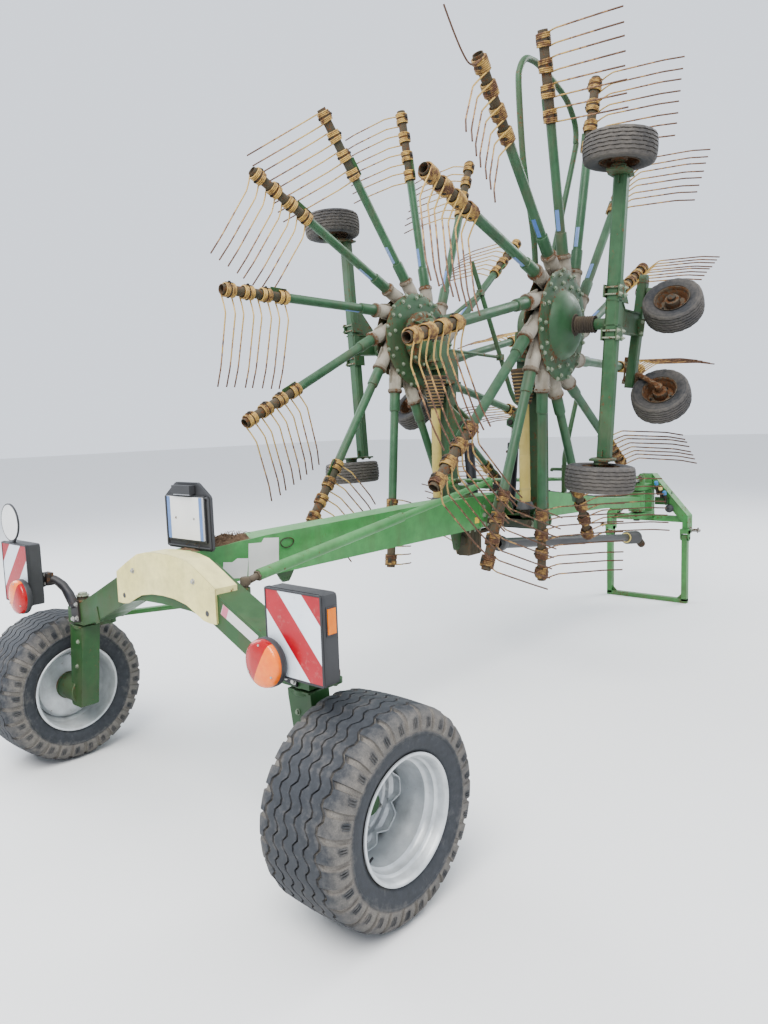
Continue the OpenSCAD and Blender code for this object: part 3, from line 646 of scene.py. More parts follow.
def soil(name="dry_soil", c1=(0.075, 0.045, 0.028), c2=(0.20, 0.135, 0.085)):
    """Dried hay and soil lying on the frame."""
    m, nt, b = new_mat(name)
    g = N(nt)
    fine = g.noise(130.0, 8.0, 0.75, 0.6, g.stretch(1.0, 0.45, 1.0))
    c = g.mix(g.map(fine, 0.35, 0.65), c1, c2)
    c = g.mix(g.map(g.noise(60.0, 5.0, 0.7, 0.8), 0.6, 0.7), c, (0.10, 0.11, 0.04))
    g.put(b.inputs["Base Color"], c)
    b.inputs["Roughness"].default_value = 0.95
    g.put(b.inputs["Normal"], g.bump(fine, 0.8, 0.006))
    return m


SOIL = soil()


# ------------------------------------------------------------------ rotors
def arm_frame(s, k):
    """Frame of an arm: x outward along the rotor's axis, y around the rotor, z out along the arm."""
    a = PHASE[s] + k * 360 / ARMS
    b = math.radians(a) - math.asin(ARM_OFF / ARM_R)
    return RF[s] @ Matrix.Rotation(-b, 4, "X") @ Matrix.Translation((0, ARM_OFF, 0)), a


ARM_OFF = 0.195
TINE_RS = [math.sqrt(r * r - ARM_OFF * ARM_OFF) for r in TINE_RS]


PRONG = [(0.008, 0.040), (0.030, 0.022), (0.075, -0.012), (0.118, -0.038), (0.140, -0.045), (0.20, -0.046), (0.30, -0.048), (0.44, -0.050), (0.50, -0.044), (0.568, -0.036)]


def make_hub(s, name):
    R = RF[s]
    T = R @ Matrix.Rotation(math.radians(90), 4, "Y")  # turned shapes: z along the rotor's axis outward

    def TL(r, z):
        return (r, z)
    m = Mesh()
    mats = [GREEN_DARK, CAST, SOCKET_RIM, BOLT_GREEN, BELLOWS]
    # outer cover: flat plate, cone and dome
    m.lathe([(0.043, 0.1355), (0.052, 0.1350), (0.088, 0.1335), (0.126, 0.126), (0.166, 0.110), (0.196, 0.088), (0.210, 0.062), (0.216, 0.053), (0.226, 0.050),
             (0.300, 0.050), (0.341, 0.050), (0.3445, 0.048), (0.3445, 0.044), (0.341, 0.042), (0.20, 0.042)], T, 96, 0,
            attr=[0.5, .4, .1, 0, 0, 0, .1, .5, .4, .1, .4, .7, .7, .6, .3])
    # inner cover
    m.lathe([(0.043, -0.050), (0.19, -0.050), (0.22, -0.050), (0.30, -0.050), (0.341, -0.050), (0.3445, -0.048), (0.3445, -0.044), (0.341, -0.042), (0.20, -0.042)], T, 96, 0,
            attr=[0.6, .4, .2, .2, .4, .7, .7, .6, .4])
    # cam drum between the covers, and the bearing's neck inside
    m.lathe([(0.216, -0.042), (0.216, 0.042)], T, 72, 1, attr=0.4)
    m.lathe([(0.043, -0.0595), (0.10, -0.0595), (0.105, -0.056), (0.105, -0.050)], T, 48, 0, attr=0.5)
    m.lathe([(0.043, 0.1375), (0.064, 0.137), (0.068, 0.134), (0.070, 0.130)], T, 40, 4, attr=0.5)
    for k in range(ARMS):
        A, deg = arm_frame(s, k)
        # socket casting between the covers, its collar outside them
        m.lathe([(0.030, 0.100), (0.040, 0.100), (0.0412, 0.110), (0.0412, 0.272), (0.0440, 0.288), (0.0460, 0.300), (0.0458, 0.340), (0.0445, 0.368), (0.0470, 0.374), (0.0505, 0.379),
                 (0.0510, 0.392), (0.0490, 0.397), (0.042, 0.3985), (0.0372, 0.3985)], A, 32, 1, attr=[.3, .3, .3, .2, .2, .1, .1, .3, .5, .8, .8, .9, 1, 1])
        m.lathe([(0.0372, 0.3975), (0.0440, 0.3990), (0.0435, 0.4030), (0.0372, 0.4045)], A, 32, 2, attr=1.0)
        # webs that fill between neighbouring sockets
        for q in (-1, 1):
            m.plate([(0.0, 0.262), (0.060, 0.240), (0.052, 0.330), (0.0, 0.352)], 0.012, A @ Matrix.Rotation(math.radians(90 * q), 4, "Z") @ Matrix.Rotation(math.radians(90), 4, "X"), 1, attr=0.4)
        # pairs of bolts through both covers at each socket
        for y, z in ((-0.028, 0.262), (0.030, 0.252), (-0.028, 0.196)):
            for zz, dirn in ((0.050, 1), (-0.050, -1)):
                m.bolt(A @ V(zz, y, z), (A.to_3x3() @ V(dirn, 0, 0)), 0.0105, 0.010, 3)
    m.build("rotor_hub_" + name, mats, "rotor_" + name, ["hub_" + name], bevel=0.0, angle=32)


def make_arms(s, name):
    m = Mesh()
    mats = [GREEN_ARM, BLUE_STICK, DARK_IRON, SOCKET_RIM, GREEN, WHITE_STICK, ARM_TIP]
    rnd = random.Random(11 + s)
    for k in range(ARMS):
        A, deg = arm_frame(s, k)
        psi = math.radians(cam_angle(deg))
        B = A @ Matrix.Rotation(psi, 4, "Z")
        up = math.cos(math.radians(deg))
        # inner sleeve, then the arm's own tube, hollow at its tip
        m.lathe([(0.0370, 0.392), (0.0370, 0.440), (0.0370, 0.524), (0.0355, 0.532), (0.0300, 0.534)], A, 32, 0, attr=[.5, .1, .05, .4, .5])
        m.lathe([(0.0292, 0.515), (0.0292, 1.09), (0.0292, 1.152)], B, 32, 0, attr=[.15, .0, .4])
        m.lathe([(0.0292, 1.152), (0.0292, 1.632), (0.0288, 1.6395), (0.0265, 1.6403), (0.0245, 1.638), (0.0240, 1.52), (0, 1.52)], B, 32, 6, attr=[.35, .45, .5, .5, .5, .5, .5])
        # worn blank sticker on the tube
        L = 0.125
        for q in ((-0.45, 0.45),):
            seg = 6
            vs, fs = [], []
            base = math.radians(-90 if s > 0 else -90)
            for i in range(seg + 1):
                th = base + (q[0] + (q[1] - q[0]) * i / seg) - psi
                for z in (0.548, 0.548 + L):
                    vs.append(B @ V(0.0299 * math.cos(th), 0.0299 * math.sin(th), z))
            for i in range(seg):
                fs.append([2 * i, 2 * i + 2, 2 * i + 3, 2 * i + 1])
            m.add(vs, fs, 1, [rnd.random() * 0.7] * len(vs), flip=(s < 0))
        # flat guard plate beside the inner tines, on the side away from the prongs
        pl = [(-0.028, 1.165), (-0.053, 1.170), (-0.054, 1.290), (-0.028, 1.296)]
        m.plate(pl, 0.005, B @ Matrix.Rotation(math.radians(90), 4, "X"), 0 if s > 0 else 4, attr=0.3)
        # tine clamps, dark, with a bolt through
        for i in range(0, 8, 2):
            zc = (TINE_RS[i] + TINE_RS[i + 1]) / 2
            h = TINE_RS[i + 1] - TINE_RS[i] - 0.030
            m.lathe([(0.0290, zc - h / 2), (0.0375, zc - h / 2), (0.0385, zc - h / 2 + 0.004), (0.0385, zc + h / 2 - 0.004), (0.0375, zc + h / 2), (0.0290, zc + h / 2)], B, 24, 2, attr=0.6)
            m.box((-0.039, 0.0, zc), (0.012, 0.028, max(h, 0.022)), B, 2, attr=0.6)
            m.bolt(B @ V(-0.045, 0, zc), B.to_3x3() @ V(-1, 0, 0), 0.008, 0.006, 2)
            m.bolt(B @ V(0.0385, 0.0, zc), B.to_3x3() @ V(1, 0, 0), 0.008, 0.007, 2)
    m.build("rotor_arms_" + name, mats, "rotor_" + name, ["arms_" + name], bevel=0.0, angle=32)


def make_tines(s, name):
    m = Mesh()
    rnd = random.Random(5 + s)
    wr = 0.0046
    for k in range(ARMS):
        A, deg = arm_frame(s, k)
        B = A @ Matrix.Rotation(math.radians(cam_angle(deg)), 4, "Z")
        # how worn the paint is: the lower and the right rotor's tines are browner
        low = max(0.0, -math.cos(math.radians(deg)))
        w0 = (0.30 if s > 0 else 0.10) + 0.28 * low
        for i, r in enumerate(TINE_RS):
            sgn = 1 if i % 2 else -1  # coil runs away from the prong towards the pair's clamp
            jit = rnd.uniform(-0.006, 0.006)
            cr = 0.0385
            turns, per = 3.25, 20
            n = int(turns * per)
            pts, at = [], []
            # coil, from the clamp side round to where the prong leaves
            for j in range(n + 1):
                th = math.radians(90) + 2 * math.pi * (turns * (1 - j / n)) * (-1)
                z = r - sgn * (turns * 0.0098) * (1 - j / n)
                pts.append(V(cr * math.cos(th), cr * math.sin(th), z))
                at.append(min(1.0, w0 + 0.12 + rnd.uniform(-0.1, 0.1)))
            nc = len(pts)
            # prong; one was caught and bent back
            bent_one = s > 0 and k == 12 and i == 7
            pr = spline([(0.030, 0.022, 0), (0.082, -0.008, 0.005), (0.122, -0.026, 0.035), (0.142, -0.033, 0.095), (0.150, -0.036, 0.17), (0.152, -0.037, 0.25), (0.150, -0.037, 0.33)], 6) if bent_one else spline([(x, y + (jit * x / 0.57), 0) for x, y in PRONG[1:]], 3)
            for j, q in enumerate(pr):
                t = j / (len(pr) - 1)
                pts.append(V(q[0], q[1], r + jit * 0.6 * t + (q[2] if bent_one else 0.0)))
                at.append(min(1.0, w0 + (0.95 - w0) * max(0.0, (t - 0.22)) ** 0.9 * 1.05) if not bent_one else 0.85)
            m.tube(pts[:nc], wr + 0.0006, 7, 1, True, at[:nc], M=B)
            m.tube(pts[nc - 1:], wr, 7, 0, True, at[nc - 1:], M=B)
    # one tine of one arm was caught and bent back (drawn above)
    ob = m.build("rotor_tines_" + name, [WIRE, COIL], "rotor_" + name, ["tines_" + name], angle=60)
    return ob


for s, name in SIDES:
    make_hub(s, name)
    make_arms(s, name)
    make_tines(s, name)


# ------------------------------------------------------------------ rear wheels
def grid(m, rows, cols, fn, mat=0, flip=False):
    """Closed round a circle: fn(i_row, j_col) -> (point, wear)."""
    vs, at = [], []
    for j in range(cols):
        for i in range(rows):
            p, a = fn(i, j)
            vs.append(p)
            at.append(a)
    fs = []
    for j in range(cols):
        j2 = (j + 1) % cols
        for i in range(rows - 1):
            fs.append([j * rows + i, j2 * rows + i, j2 * rows + i + 1, j * rows + i + 1])
    m.add(vs, fs, mat, at, flip=flip)


def rear_tyre(m, T, seed):
    blocks = 28
    fr = [0.0, 0.035, 0.245, 0.28, 0.50, 0.74, 0.90]
    zz = [-1.0, -0.72, 0.78, 1.0, 1.0, -1.0, -1.0]
    rnd = random.Random(seed)
    rows = []  # x, r, amount of zigzag, in slot, wear
    side = [(0.170, 0.223, .3), (0.1725, 0.236, .5), (0.178, 0.2415, .15), (0.184, 0.252, .05), (0.1885, 0.270, .05), (0.1915, 0.290, .1), (0.1925, 0.300, .2), (0.1958, 0.304, .25), (0.1958, 0.3085, .3), (0.1935, 0.312, .6)]
    shoulder = [(0.1950, 0.318, .85), (0.1962, 0.336, .8), (0.1930, 0.356, .75), (0.1850, 0.3745, .6), (0.1730, 0.3870, .45), (0.1570, 0.3945, .3), (0.1400, 0.3975, .25)]

    def half(sg):
        out = [(sg * x, r, 0, 0, w) for x, r, w in side]
        out += [(sg * x, r, 0 if x > 0.16 else 0.55, 1, w) for x, r, w in shoulder]
        return out
    rows += half(-1)
    gro = [-0.125, -0.075, -0.025, 0.025, 0.075, 0.125]
    for i, x in enumerate(gro):
        outer = i in (0, 5)
        w = 0.0062 if outer else 0.0045
        top = 0.4030 - 0.0042 * (x / 0.125) ** 2
        rows += [(x - w, top, 1, 0, .2), (x - w * 0.55, top - 0.011, 1, 0, .95 if outer else .55), (x + w * 0.55, top - 0.011, 1, 0, .95 if outer else .55), (x + w, top, 1, 0, .2)]
        if i < 5:
            xm = x + 0.025
            rows += [(xm, 0.4032 - 0.0042 * (xm / 0.125) ** 2, 1, 0, .06)]
    rows += half(1)[::-1]
    cols = blocks * len(fr)
    jit = [rnd.uniform(-0.12, 0.12) for _ in range(cols)]

    def fn(i, j):
        x, r, zg, slot, w = rows[i]
        b, k = divmod(j, len(fr))
        th = 2 * math.pi * (b + fr[k]) / blocks
        # no offset for the far shoulder's blocks
        if x < -0.13:
            pass
        xx = x + zg * 0.0105 * zz[k]
        rr = r
        ww = w
        if slot and k in (1, 2):
            d = 0.0115 if r > 0.33 else 0.006
            nx = 1.0 if x > 0 else -1.0
            t = max(0.0, min(1.0, (abs(x) - 0.14) / 0.05))
            rr -= d * (1 - 0.65 * t)
            xx -= nx * d * 0.75 * t
            ww = 0.98
        # small sipes on the blocks' sides
        if slot and 0.33 < r < 0.36 and k in (4,):
            xx -= (1 if x > 0 else -1) * 0.0022
            ww = 0.25
        return T @ V(rr * math.cos(th), rr * math.sin(th), xx), max(0, min(1, ww + jit[j] * (0.6 if ww > .15 else .2)))
    grid(m, len(rows), cols, fn, 0, flip=(T.to_3x3().determinant() < 0))
    # raised bars across the shoulder's side, one pair a block
    for b in range(blocks):
        for k, f in enumerate((0.40, 0.52, 0.64)):
            th = 2 * math.pi * (b + f) / blocks
            c, sn = math.cos(th), math.sin(th)
            for sg in (-1, 1):
                pts = [T @ V(r * c, r * sn, sg * x) for x, r in ((0.1966, 0.330), (0.1956, 0.346), (0.1905, 0.3625))]
                m.tube(pts, [0.0022, 0.003, 0.0022], 6, 0, True, 0.35)


def rear_wheel(s, name):
    T = Matrix.Diagonal((s, 1, 1, 1)) @ Matrix.Translation(P(1182, 0, 403)) @ Matrix.Rotation(math.radians(90), 4, "Y")
    m = Mesh()
    rear_tyre(m, T, 3 + s)
    m.build("rear_tyre_" + name, [TYRE], "wheel_" + name, ["tyre_" + name], angle=28)
    m = Mesh()
    f = 0.2355
    # the rolled rim: lips, bead seats, steps and well, as one thin shell
    outer = [(f, 0.1785), (f, 0.1845), (f - 0.0045, 0.1865), (f - 0.0100, 0.1850), (f - 0.0140, 0.1790), (f - 0.0175, 0.1730), (f - 0.0195, 0.1500), (f - 0.0230, 0.1425), (f - 0.0300, 0.1370),
             (f - 0.0325, 0.1170), (f - 0.0380, 0.1090), (f - 0.0450, 0.1040), (f - 0.0480, 0.0700), (f - 0.0520, 0.0600), (f - 0.0540, 0.0150), (f - 0.0540, -0.0320), (f - 0.0480, -0.0480), (f - 0.0300, -0.0680), (f - 0.0270, -0.0760),
             (f - 0.0250, -0.1400), (f - 0.0220, -0.1700), (f - 0.0120, -0.1840), (f - 0.004, -0.1860), (f, -0.1830), (f, -0.1770)]
    inner = [(f - 0.0150, -0.1700), (f - 0.0185, -0.1400), (f - 0.0205, -0.0760), (f - 0.040, -0.043), (f - 0.0465, -0.030), (f - 0.0465, 0.060), (f - 0.040, 0.105), (f - 0.025, 0.125), (f - 0.0145, 0.150), (f - 0.0120, 0.1730)]
    m.lathe(outer + inner, T, 128, 0, attr=[0.0] * len(outer) + [0.3] * len(inner), closed=True)
    # pressed wheel disc
    disc = [(0.1830, -0.060), (0.1830, -0.052), (0.172, -0.047), (0.160, -0.050), (0.150, -0.060), (0.141, -0.0655), (0.098, -0.0655), (0.088, -0.0630), (0.075, -0.0630), (0.075, -0.0800), (0.10, -0.081), (0.150, -0.0810), (0.17, -0.075)]
    m.lathe(disc, T, 96, 0, attr=0.15, closed=True)
    # raised edge with flats between the barrel and the disc
    n = 8
    ring_o, ring_i = [], []
    steps = 96
    pts = []
    for k in range(steps):
        th = 2 * math.pi * k / steps
        q = (th * n / (2 * math.pi)) % 1.0
        r = 0.1815 - 0.018 * max(0.0, 1 - abs(q - 0.5) / 0.26) ** 0.8
        pts.append(T @ V(r * math.cos(th), r * math.sin(th), -0.012 - 0.022 * max(0.0, 1 - abs(q - 0.5) / 0.26)))
    m.tube(pts, 0.0042, 8, 0, closed=True, attr=0.1)
    # shell between that edge and the disc
    vs, fs = [], []
    for k in range(steps):
        th = 2 * math.pi * k / steps
        q = (th * n / (2 * math.pi)) % 1.0
        w = max(0.0, 1 - abs(q - 0.5) / 0.26)
        r = 0.1815 - 0.018 * w ** 0.8
        z = -0.012 - 0.022 * w
        for rr, zz in ((r, z), (r * 0.965, -0.040 - 0.004 * w), (0.160, -0.0500), (0.150, -0.0600)):
            vs.append(T @ V(rr * math.cos(th), rr * math.sin(th), zz))
    for k in range(steps):
        k2 = (k + 1) % steps
        for i in range(3):
            fs.append([4 * k + i, 4 * k2 + i, 4 * k2 + i + 1, 4 * k + i + 1])
    m.add(vs, fs, 0, 0.1, flip=(T.to_3x3().determinant() < 0))
    # valve and the hole for its stem
    a = math.radians(-38)
    pv = T @ V(0.1925 * math.cos(a), 0.1925 * math.sin(a), 0.085)
    dv = T.to_3x3() @ V(-math.cos(a), -math.sin(a), 0.35)
    m.tube([pv, pv + dv.normalized() * 0.030], 0.0042, 10, 1)
    m.lathe([(0.0095, 0.0), (0.0095, 0.003), (0.0045, 0.003)], look(pv, dv), 16, 1)
    for k in range(8):
        a = 2 * math.pi * (k + 0.3) / 8
        m.bolt(T @ V(0.1205 * math.cos(a), 0.1205 * math.sin(a), -0.0655), T.to_3x3() @ V(0, 0, 1), 0.0125, 0.013, 2, stud=0.010)
    m.build("rear_rim_" + name, [RIM_SILVER, BLACK, BOLT], "wheel_" + name, ["rim_" + name], angle=30)


# ------------------------------------------------------------------ small wheels
def small_wheel(m, T, hub_r, gr=0.203, gw=0.156, seed=1, mats=(0, 1, 2)):
    """Gauge or castor wheel about the z axis of T: ribbed tyre, dusty pressed rim and hub."""
    rnd = random.Random(seed)
    w = gw / 2
    ri = 0.104
    side = [(0.060, ri - 0.002, .4), (0.0645, ri + 0.004, .6), (0.0665, ri + 0.010, .45), (0.0715, 0.124, .35), (0.0765, 0.140, .35), (0.0778, 0.154, .4), (0.0772, 0.168, .55), (0.0768, 0.172, .3), (0.0745, 0.181, .7), (0.070, 0.1905, .7)]
    side = [(x * gw / 0.156, ri + (r - ri) * (gr - ri) / (0.203 - ri), a) for x, r, a in side]
    rows = [(-x, r, a) for x, r, a in side]
    gro = [-0.052, -0.031, -0.0105, 0.0105, 0.031, 0.052]
    for x in gro:
        top = gr - 0.0045 * (x / 0.052) ** 2 - 0.0003
        rows += [(x - 0.0034, top, .65), (x - 0.0022, top - 0.0055, 1.0), (x + 0.0022, top - 0.0055, 1.0), (x + 0.0034, top, .65)]
    rows += [(x, r, a) for x, r, a in side[::-1]]
    cols = 120
    ph = [rnd.uniform(0, 6) for _ in range(3)]

    def fn(i, j):
        x, r, a = rows[i]
        th = 2 * math.pi * j / cols
        notch = 0.0
        if r > gr - 0.013 and (j + (i % 3) * 2) % 6 == 0:
            notch = 0.0028
        wob = 0.0008 * math.sin(3 * th + ph[0])
        return T @ V((r - notch + wob * 0.3) * math.cos(th), (r - notch + wob * 0.3) * math.sin(th), x + (0.0012 * math.sin(20 * th) if r > gr - 0.013 else 0)), min(1, max(0, a + 0.15 * math.sin(2 * th + ph[1]) + rnd.uniform(-.06, .06)))
    grid(m, len(rows), cols, fn, mats[0], flip=(T.to_3x3().determinant() < 0))
    for sg in (-1, 1):
        prof = [(ri + 0.0045, 0.0715), (ri + 0.0065, 0.0700), (ri + 0.0050, 0.0655), (ri, 0.0645), (ri - 0.003, 0.0600), (ri - 0.005, 0.0420), (0.090, 0.0300), (0.0860, 0.0200), (0.080, 0.0060), (0.072, 0.0045), (0.0600, 0.0085), (0.052, 0.0085), (0.0455, 0.0085)]
        m.lathe([(r, sg * z) for r, z in prof], T, 64, mats[1], attr=[.2, .3, .5, .6, .6, .7, .8, .8, .9, .7, .5, .5, .7])
        m.lathe([(0.0450, sg * 0.0070), (0.0450, sg * 0.0540), (0.0430, sg * 0.0590), (0.0360, sg * 0.0600), (hub_r, sg * 0.0600)], T, 40, mats[1], attr=[.8, .4, .5, .7, .8])
        for k in range(5):
            a = 2 * math.pi * k / 5
            m.bolt(T @ V(0.0650 * math.cos(a), 0.0650 * math.sin(a), sg * 0.0065), T.to_3x3() @ V(0, 0, sg), 0.0075, 0.007, mats[2], stud=0.003)
    m.lathe([(hub_r, -0.0600), (hub_r, 0.0600)], T, 32, mats[1], attr=0.8)


for s, name in SIDES:
    rear_wheel(s, name)
    for z, zn in ((1, "top"), (-1, "low")):
        m = Mesh()
        small_wheel(m, RF[s] @ Matrix.Translation((0.466, -0.299, z * 0.913)), 0.0281, seed=3 + z + s)
        m.build("gauge_wheel_%s_%s" % (zn, name), [SMALL_TYRE, RUSTY_RIM, DARK_IRON], "gauge_%s_%s" % (zn, name), ["gauge_%s_%s" % (zn, name)], angle=30)
        C = RF[s] @ Matrix.Translation((0.311, 0.601, -0.035)) @ Matrix.Rotation(math.radians(3.6), 4, "Y") @ Matrix.Translation((0, 0, z * 0.290)) @ Matrix.Rotation(math.radians(-40), 4, "X")
        m = Mesh()
        small_wheel(m, C @ Matrix.Translation((0.241, 0, -0.120)) @ Matrix.Rotation(math.radians(90 * z), 4, "X"), 0.020, gr=0.188, gw=0.150, seed=13 + z + s)
        m.build("castor_wheel_%s_%s" % (zn, name), [SMALL_TYRE, RUSTY_RIM, DARK_IRON], "trail_%s_%s" % (zn, name), ["trail_%s_%s" % (zn, name)], angle=30)


# ------------------------------------------------------------------ booms, their shafts and guards, gauge beams, castors and cylinders
def slab(m, plane, poly, a0, a1, M=None, mat=0, attr=None):
    """An outline in millimetres pushed through a span of the axis it does not lie on."""
    k = len(poly)

    def pt(u, v, a):
        q = P(u, a, v) if plane == "xz" else P(a, u, v) if plane == "yz" else P(u, v, a)
        return M @ q if M is not None else q
    verts = [pt(u, v, a0) for u, v in poly] + [pt(u, v, a1) for u, v in poly]
    faces = [list(range(k))[::-1], [k + j for j in range(k)]] + [[j, (j + 1) % k, k + (j + 1) % k, k + j] for j in range(k)]
    m.add(verts, faces, mat, attr, smooth=False)


def block(m, x0, x1, y0, y1, z0, z1, M=None, mat=0, attr=None):
    slab(m, "xy", [(x0, y0), (x1, y0), (x1, y1), (x0, y1)], z0, z1, M, mat, attr)


def bar(m, pts, r, n=16, mat=0, M=None, attr=None, round_r=None):
    """A tube through points given in millimetres from the rear axle."""
    q = [P(*p) for p in pts]
    if round_r:
        q = arc(q, round_r / 1000, 6)
    if M is not None:
        q = [M @ p for p in q]
    m.tube(q, r / 1000 if not isinstance(r, list) else [x / 1000 for x in r], n, mat, True, attr)


def turned(m, p, d, prof, n=32, mat=0, M=None, attr=None):
    """A turned shape about a point and a direction; profile of (radius, along) in millimetres."""
    q, e = P(*p), Vector(d)
    if M is not None:
        q, e = M @ q, M.to_3x3() @ e
    m.lathe([(r / 1000, z / 1000) for r, z in prof], look(q, e), n, mat, attr)


def pin(m, p, d, r, l, n=24, mat=0, M=None):
    turned(m, p, d, [(0, -l / 2), (r - 1.5, -l / 2), (r, -l / 2 + 1.5), (r, l / 2 - 1.5), (r - 1.5, l / 2), (0, l / 2)], n, mat, M)


def bolts(m, pts, d, r, mat, M=None, **k):
    for p in pts:
        q, e = P(*p), Vector(d)
        if M is not None:
            q, e = M @ q, M.to_3x3() @ e
        m.bolt(q, e, r / 1000, None, mat, **k)


def ring(m, o, d, r0, r1, h, n=32, mat=0, M=None):
    turned(m, o, d, [(r0, -h / 2), (r1 - 1, -h / 2), (r1, -h / 2 + 1), (r1, h / 2 - 1), (r1 - 1, h / 2), (r0, h / 2), (r0, -h / 2)], n, mat, M)


def rot_xform(s):
    """The rotor's frame with its own units in metres."""
    return RF[s]


def make_boom(s, name):
    S = Matrix.Diagonal((s, 1, 1, 1))
    R = RF[s]
    T = R @ Matrix.Rotation(math.radians(90), 4, "Y")
    m = Mesh()
    mats = [GREEN_DARK, DARK_IRON, BOLT_GREEN, BELLOWS, GREEN]
    # hollow-section leg with rounded corners and a cap
    c = 9
    sec = [(322 + c, 2575), (428 - c, 2575), (428, 2575 + c), (428, 2695 - c), (428 - c, 2695), (322 + c, 2695), (322, 2695 - c), (322, 2575 + c)]
    slab(m, "xy", sec, 1108, 2058, S, 0, 0.2)
    slab(m, "xy", [(x + (3 if x > 375 else -3), y + (3 if y > 2635 else -3)) for x, y in sec], 1130, 1142, S, 0, 0.4)
    # boss, pin and its keeper
    turned(m, (385, 2635, 1100), (0, 1, 0), [(30, -60), (41, -60), (43, -57), (43, 57), (41, 60), (30, 60)], 40, 0, S)
    pin(m, (385, 2635, 1100), (0, 1, 0), 30, 230, 32, 1, S)
    for y in (-116, 116):
        ring(m, (385, 2635 + y, 1100), (0, 1, 0), 8, 26, 4, 24, 2, S)
    # ears of the cylinder's eye, each with a ring round its bore
    for y in (-50, 30):
        slab(m, "xz", [(326, 1930), (200, 1820), (165, 1790), (165, 1760), (200, 1745), (326, 1650)], 2635 + y, 2655 + y, S, 0, 0.3)
        ring(m, (200, 2645 + y + (-12 if y < 0 else 12), 1780), (0, 1, 0), 20, 32, 8, 28, 0, S)
    pin(m, (200, 2635, 1780), (0, 1, 0), 19.5, 128, 24, 1, S)
    # stiffening plate down the leg's inner face
    slab(m, "yz", [(2590, 1640), (2680, 1640), (2680, 1960), (2660, 2010), (2610, 2010), (2590, 1960)], 318, 322, S, 0, 0.2)
    # gear housing: turned casting with a seam flange, ribs and bolts
    m.lathe([(0.060, -0.2145), (0.110, -0.2145), (0.122, -0.210), (0.132, -0.196), (0.148, -0.168), (0.150, -0.124), (0.158, -0.118), (0.198, -0.116), (0.204, -0.112),
             (0.2045, -0.092), (0.201, -0.088), (0.176, -0.084), (0.165, -0.066), (0.160, -0.061), (0.05, -0.0605)], T, 72, 0,
            attr=[.4, .3, .4, .3, .3, .6, .7, .5, .6, .6, .5, .4, .4, .5, .5])
    m.lathe([(0, -0.226), (0.052, -0.226), (0.060, -0.222), (0.062, -0.2145)], T, 40, 1, attr=0.5)
    for k in range(12):
        a = math.radians(15 + 30 * k)
        p = R @ V(-0.116, 0.184 * math.sin(a), 0.184 * math.cos(a))
        m.bolt(p, R.to_3x3() @ V(-1, 0, 0), 0.010, 0.009, 2)
        if k % 2 == 0:
            e = V(0, math.sin(a), math.cos(a))
            t = V(0, math.cos(a), -math.sin(a)) * 0.004
            w = [V(-0.205, 0, 0) + e * 0.118, V(-0.118, 0, 0) + e * 0.192, V(-0.118, 0, 0) + e * 0.12]
            vs = [R @ (q + t) for q in w] + [R @ (q - t) for q in w]
            m.add(vs, [[0, 1, 2], [5, 4, 3], [0, 3, 4, 1], [1, 4, 5, 2], [2, 5, 3, 0]], 0, 0.3, smooth=False)
    # neck of the gear case towards the shaft, and the carrier that bolts it on the leg
    q = [R @ V(-0.195, 0.0 + dy, -0.045) for dy in (0,)][0]
    m.lathe([(0.052, 0.02), (0.058, 0.06), (0.060, 0.15), (0.072, 0.158), (0.072, 0.172), (0.058, 0.176), (0.05, 0.20)], R @ Matrix.Translation((-0.195, 0, 0)) @ Matrix.Rotation(math.pi, 4, "X"), 40, 0, attr=0.5)
    for cc, sz in (((-0.203, 0.075, -0.215), (0.124, 0.148, 0.226)), ((-0.196, 0.0, -0.13), (0.140, 0.078, 0.19))):
        m.box(cc, sz, R, 0, 0.3)
    m.box((-0.203, 0.075, -0.325), (0.146, 0.166, 0.014), R, 0, 0.4)
    for dx in (-0.055, 0.055):
        for dy in (-0.055, 0.055):
            m.bolt(R @ V(-0.203 + dx, 0.075 + dy, -0.318), R.to_3x3() @ V(0, 0, 1), 0.011, 0.010, 2)
    # rotor axle: stub tube outside the dome, with its bellows
    prof = [(0.042, 0.139), (0.052, 0.141)]
    for i in range(7):
        z = 0.145 + i * 0.016
        prof += [(0.053, z), (0.0435, z + 0.008)]
    prof += [(0.053, 0.257), (0.053, 0.262), (0.041, 0.264)]
    m.lathe(prof, T, 40, 3, attr=[.5] * len(prof))
    m.lathe([(0.0335, 0.262), (0.0345, 0.266), (0.0345, 0.398), (0.0335, 0.399), (0, 0.399)], T, 36, 0, attr=0.3)
    m.build("boom_leg_" + name, mats, "boom_" + name, ["boom_" + name], bevel=0.0025, angle=35)

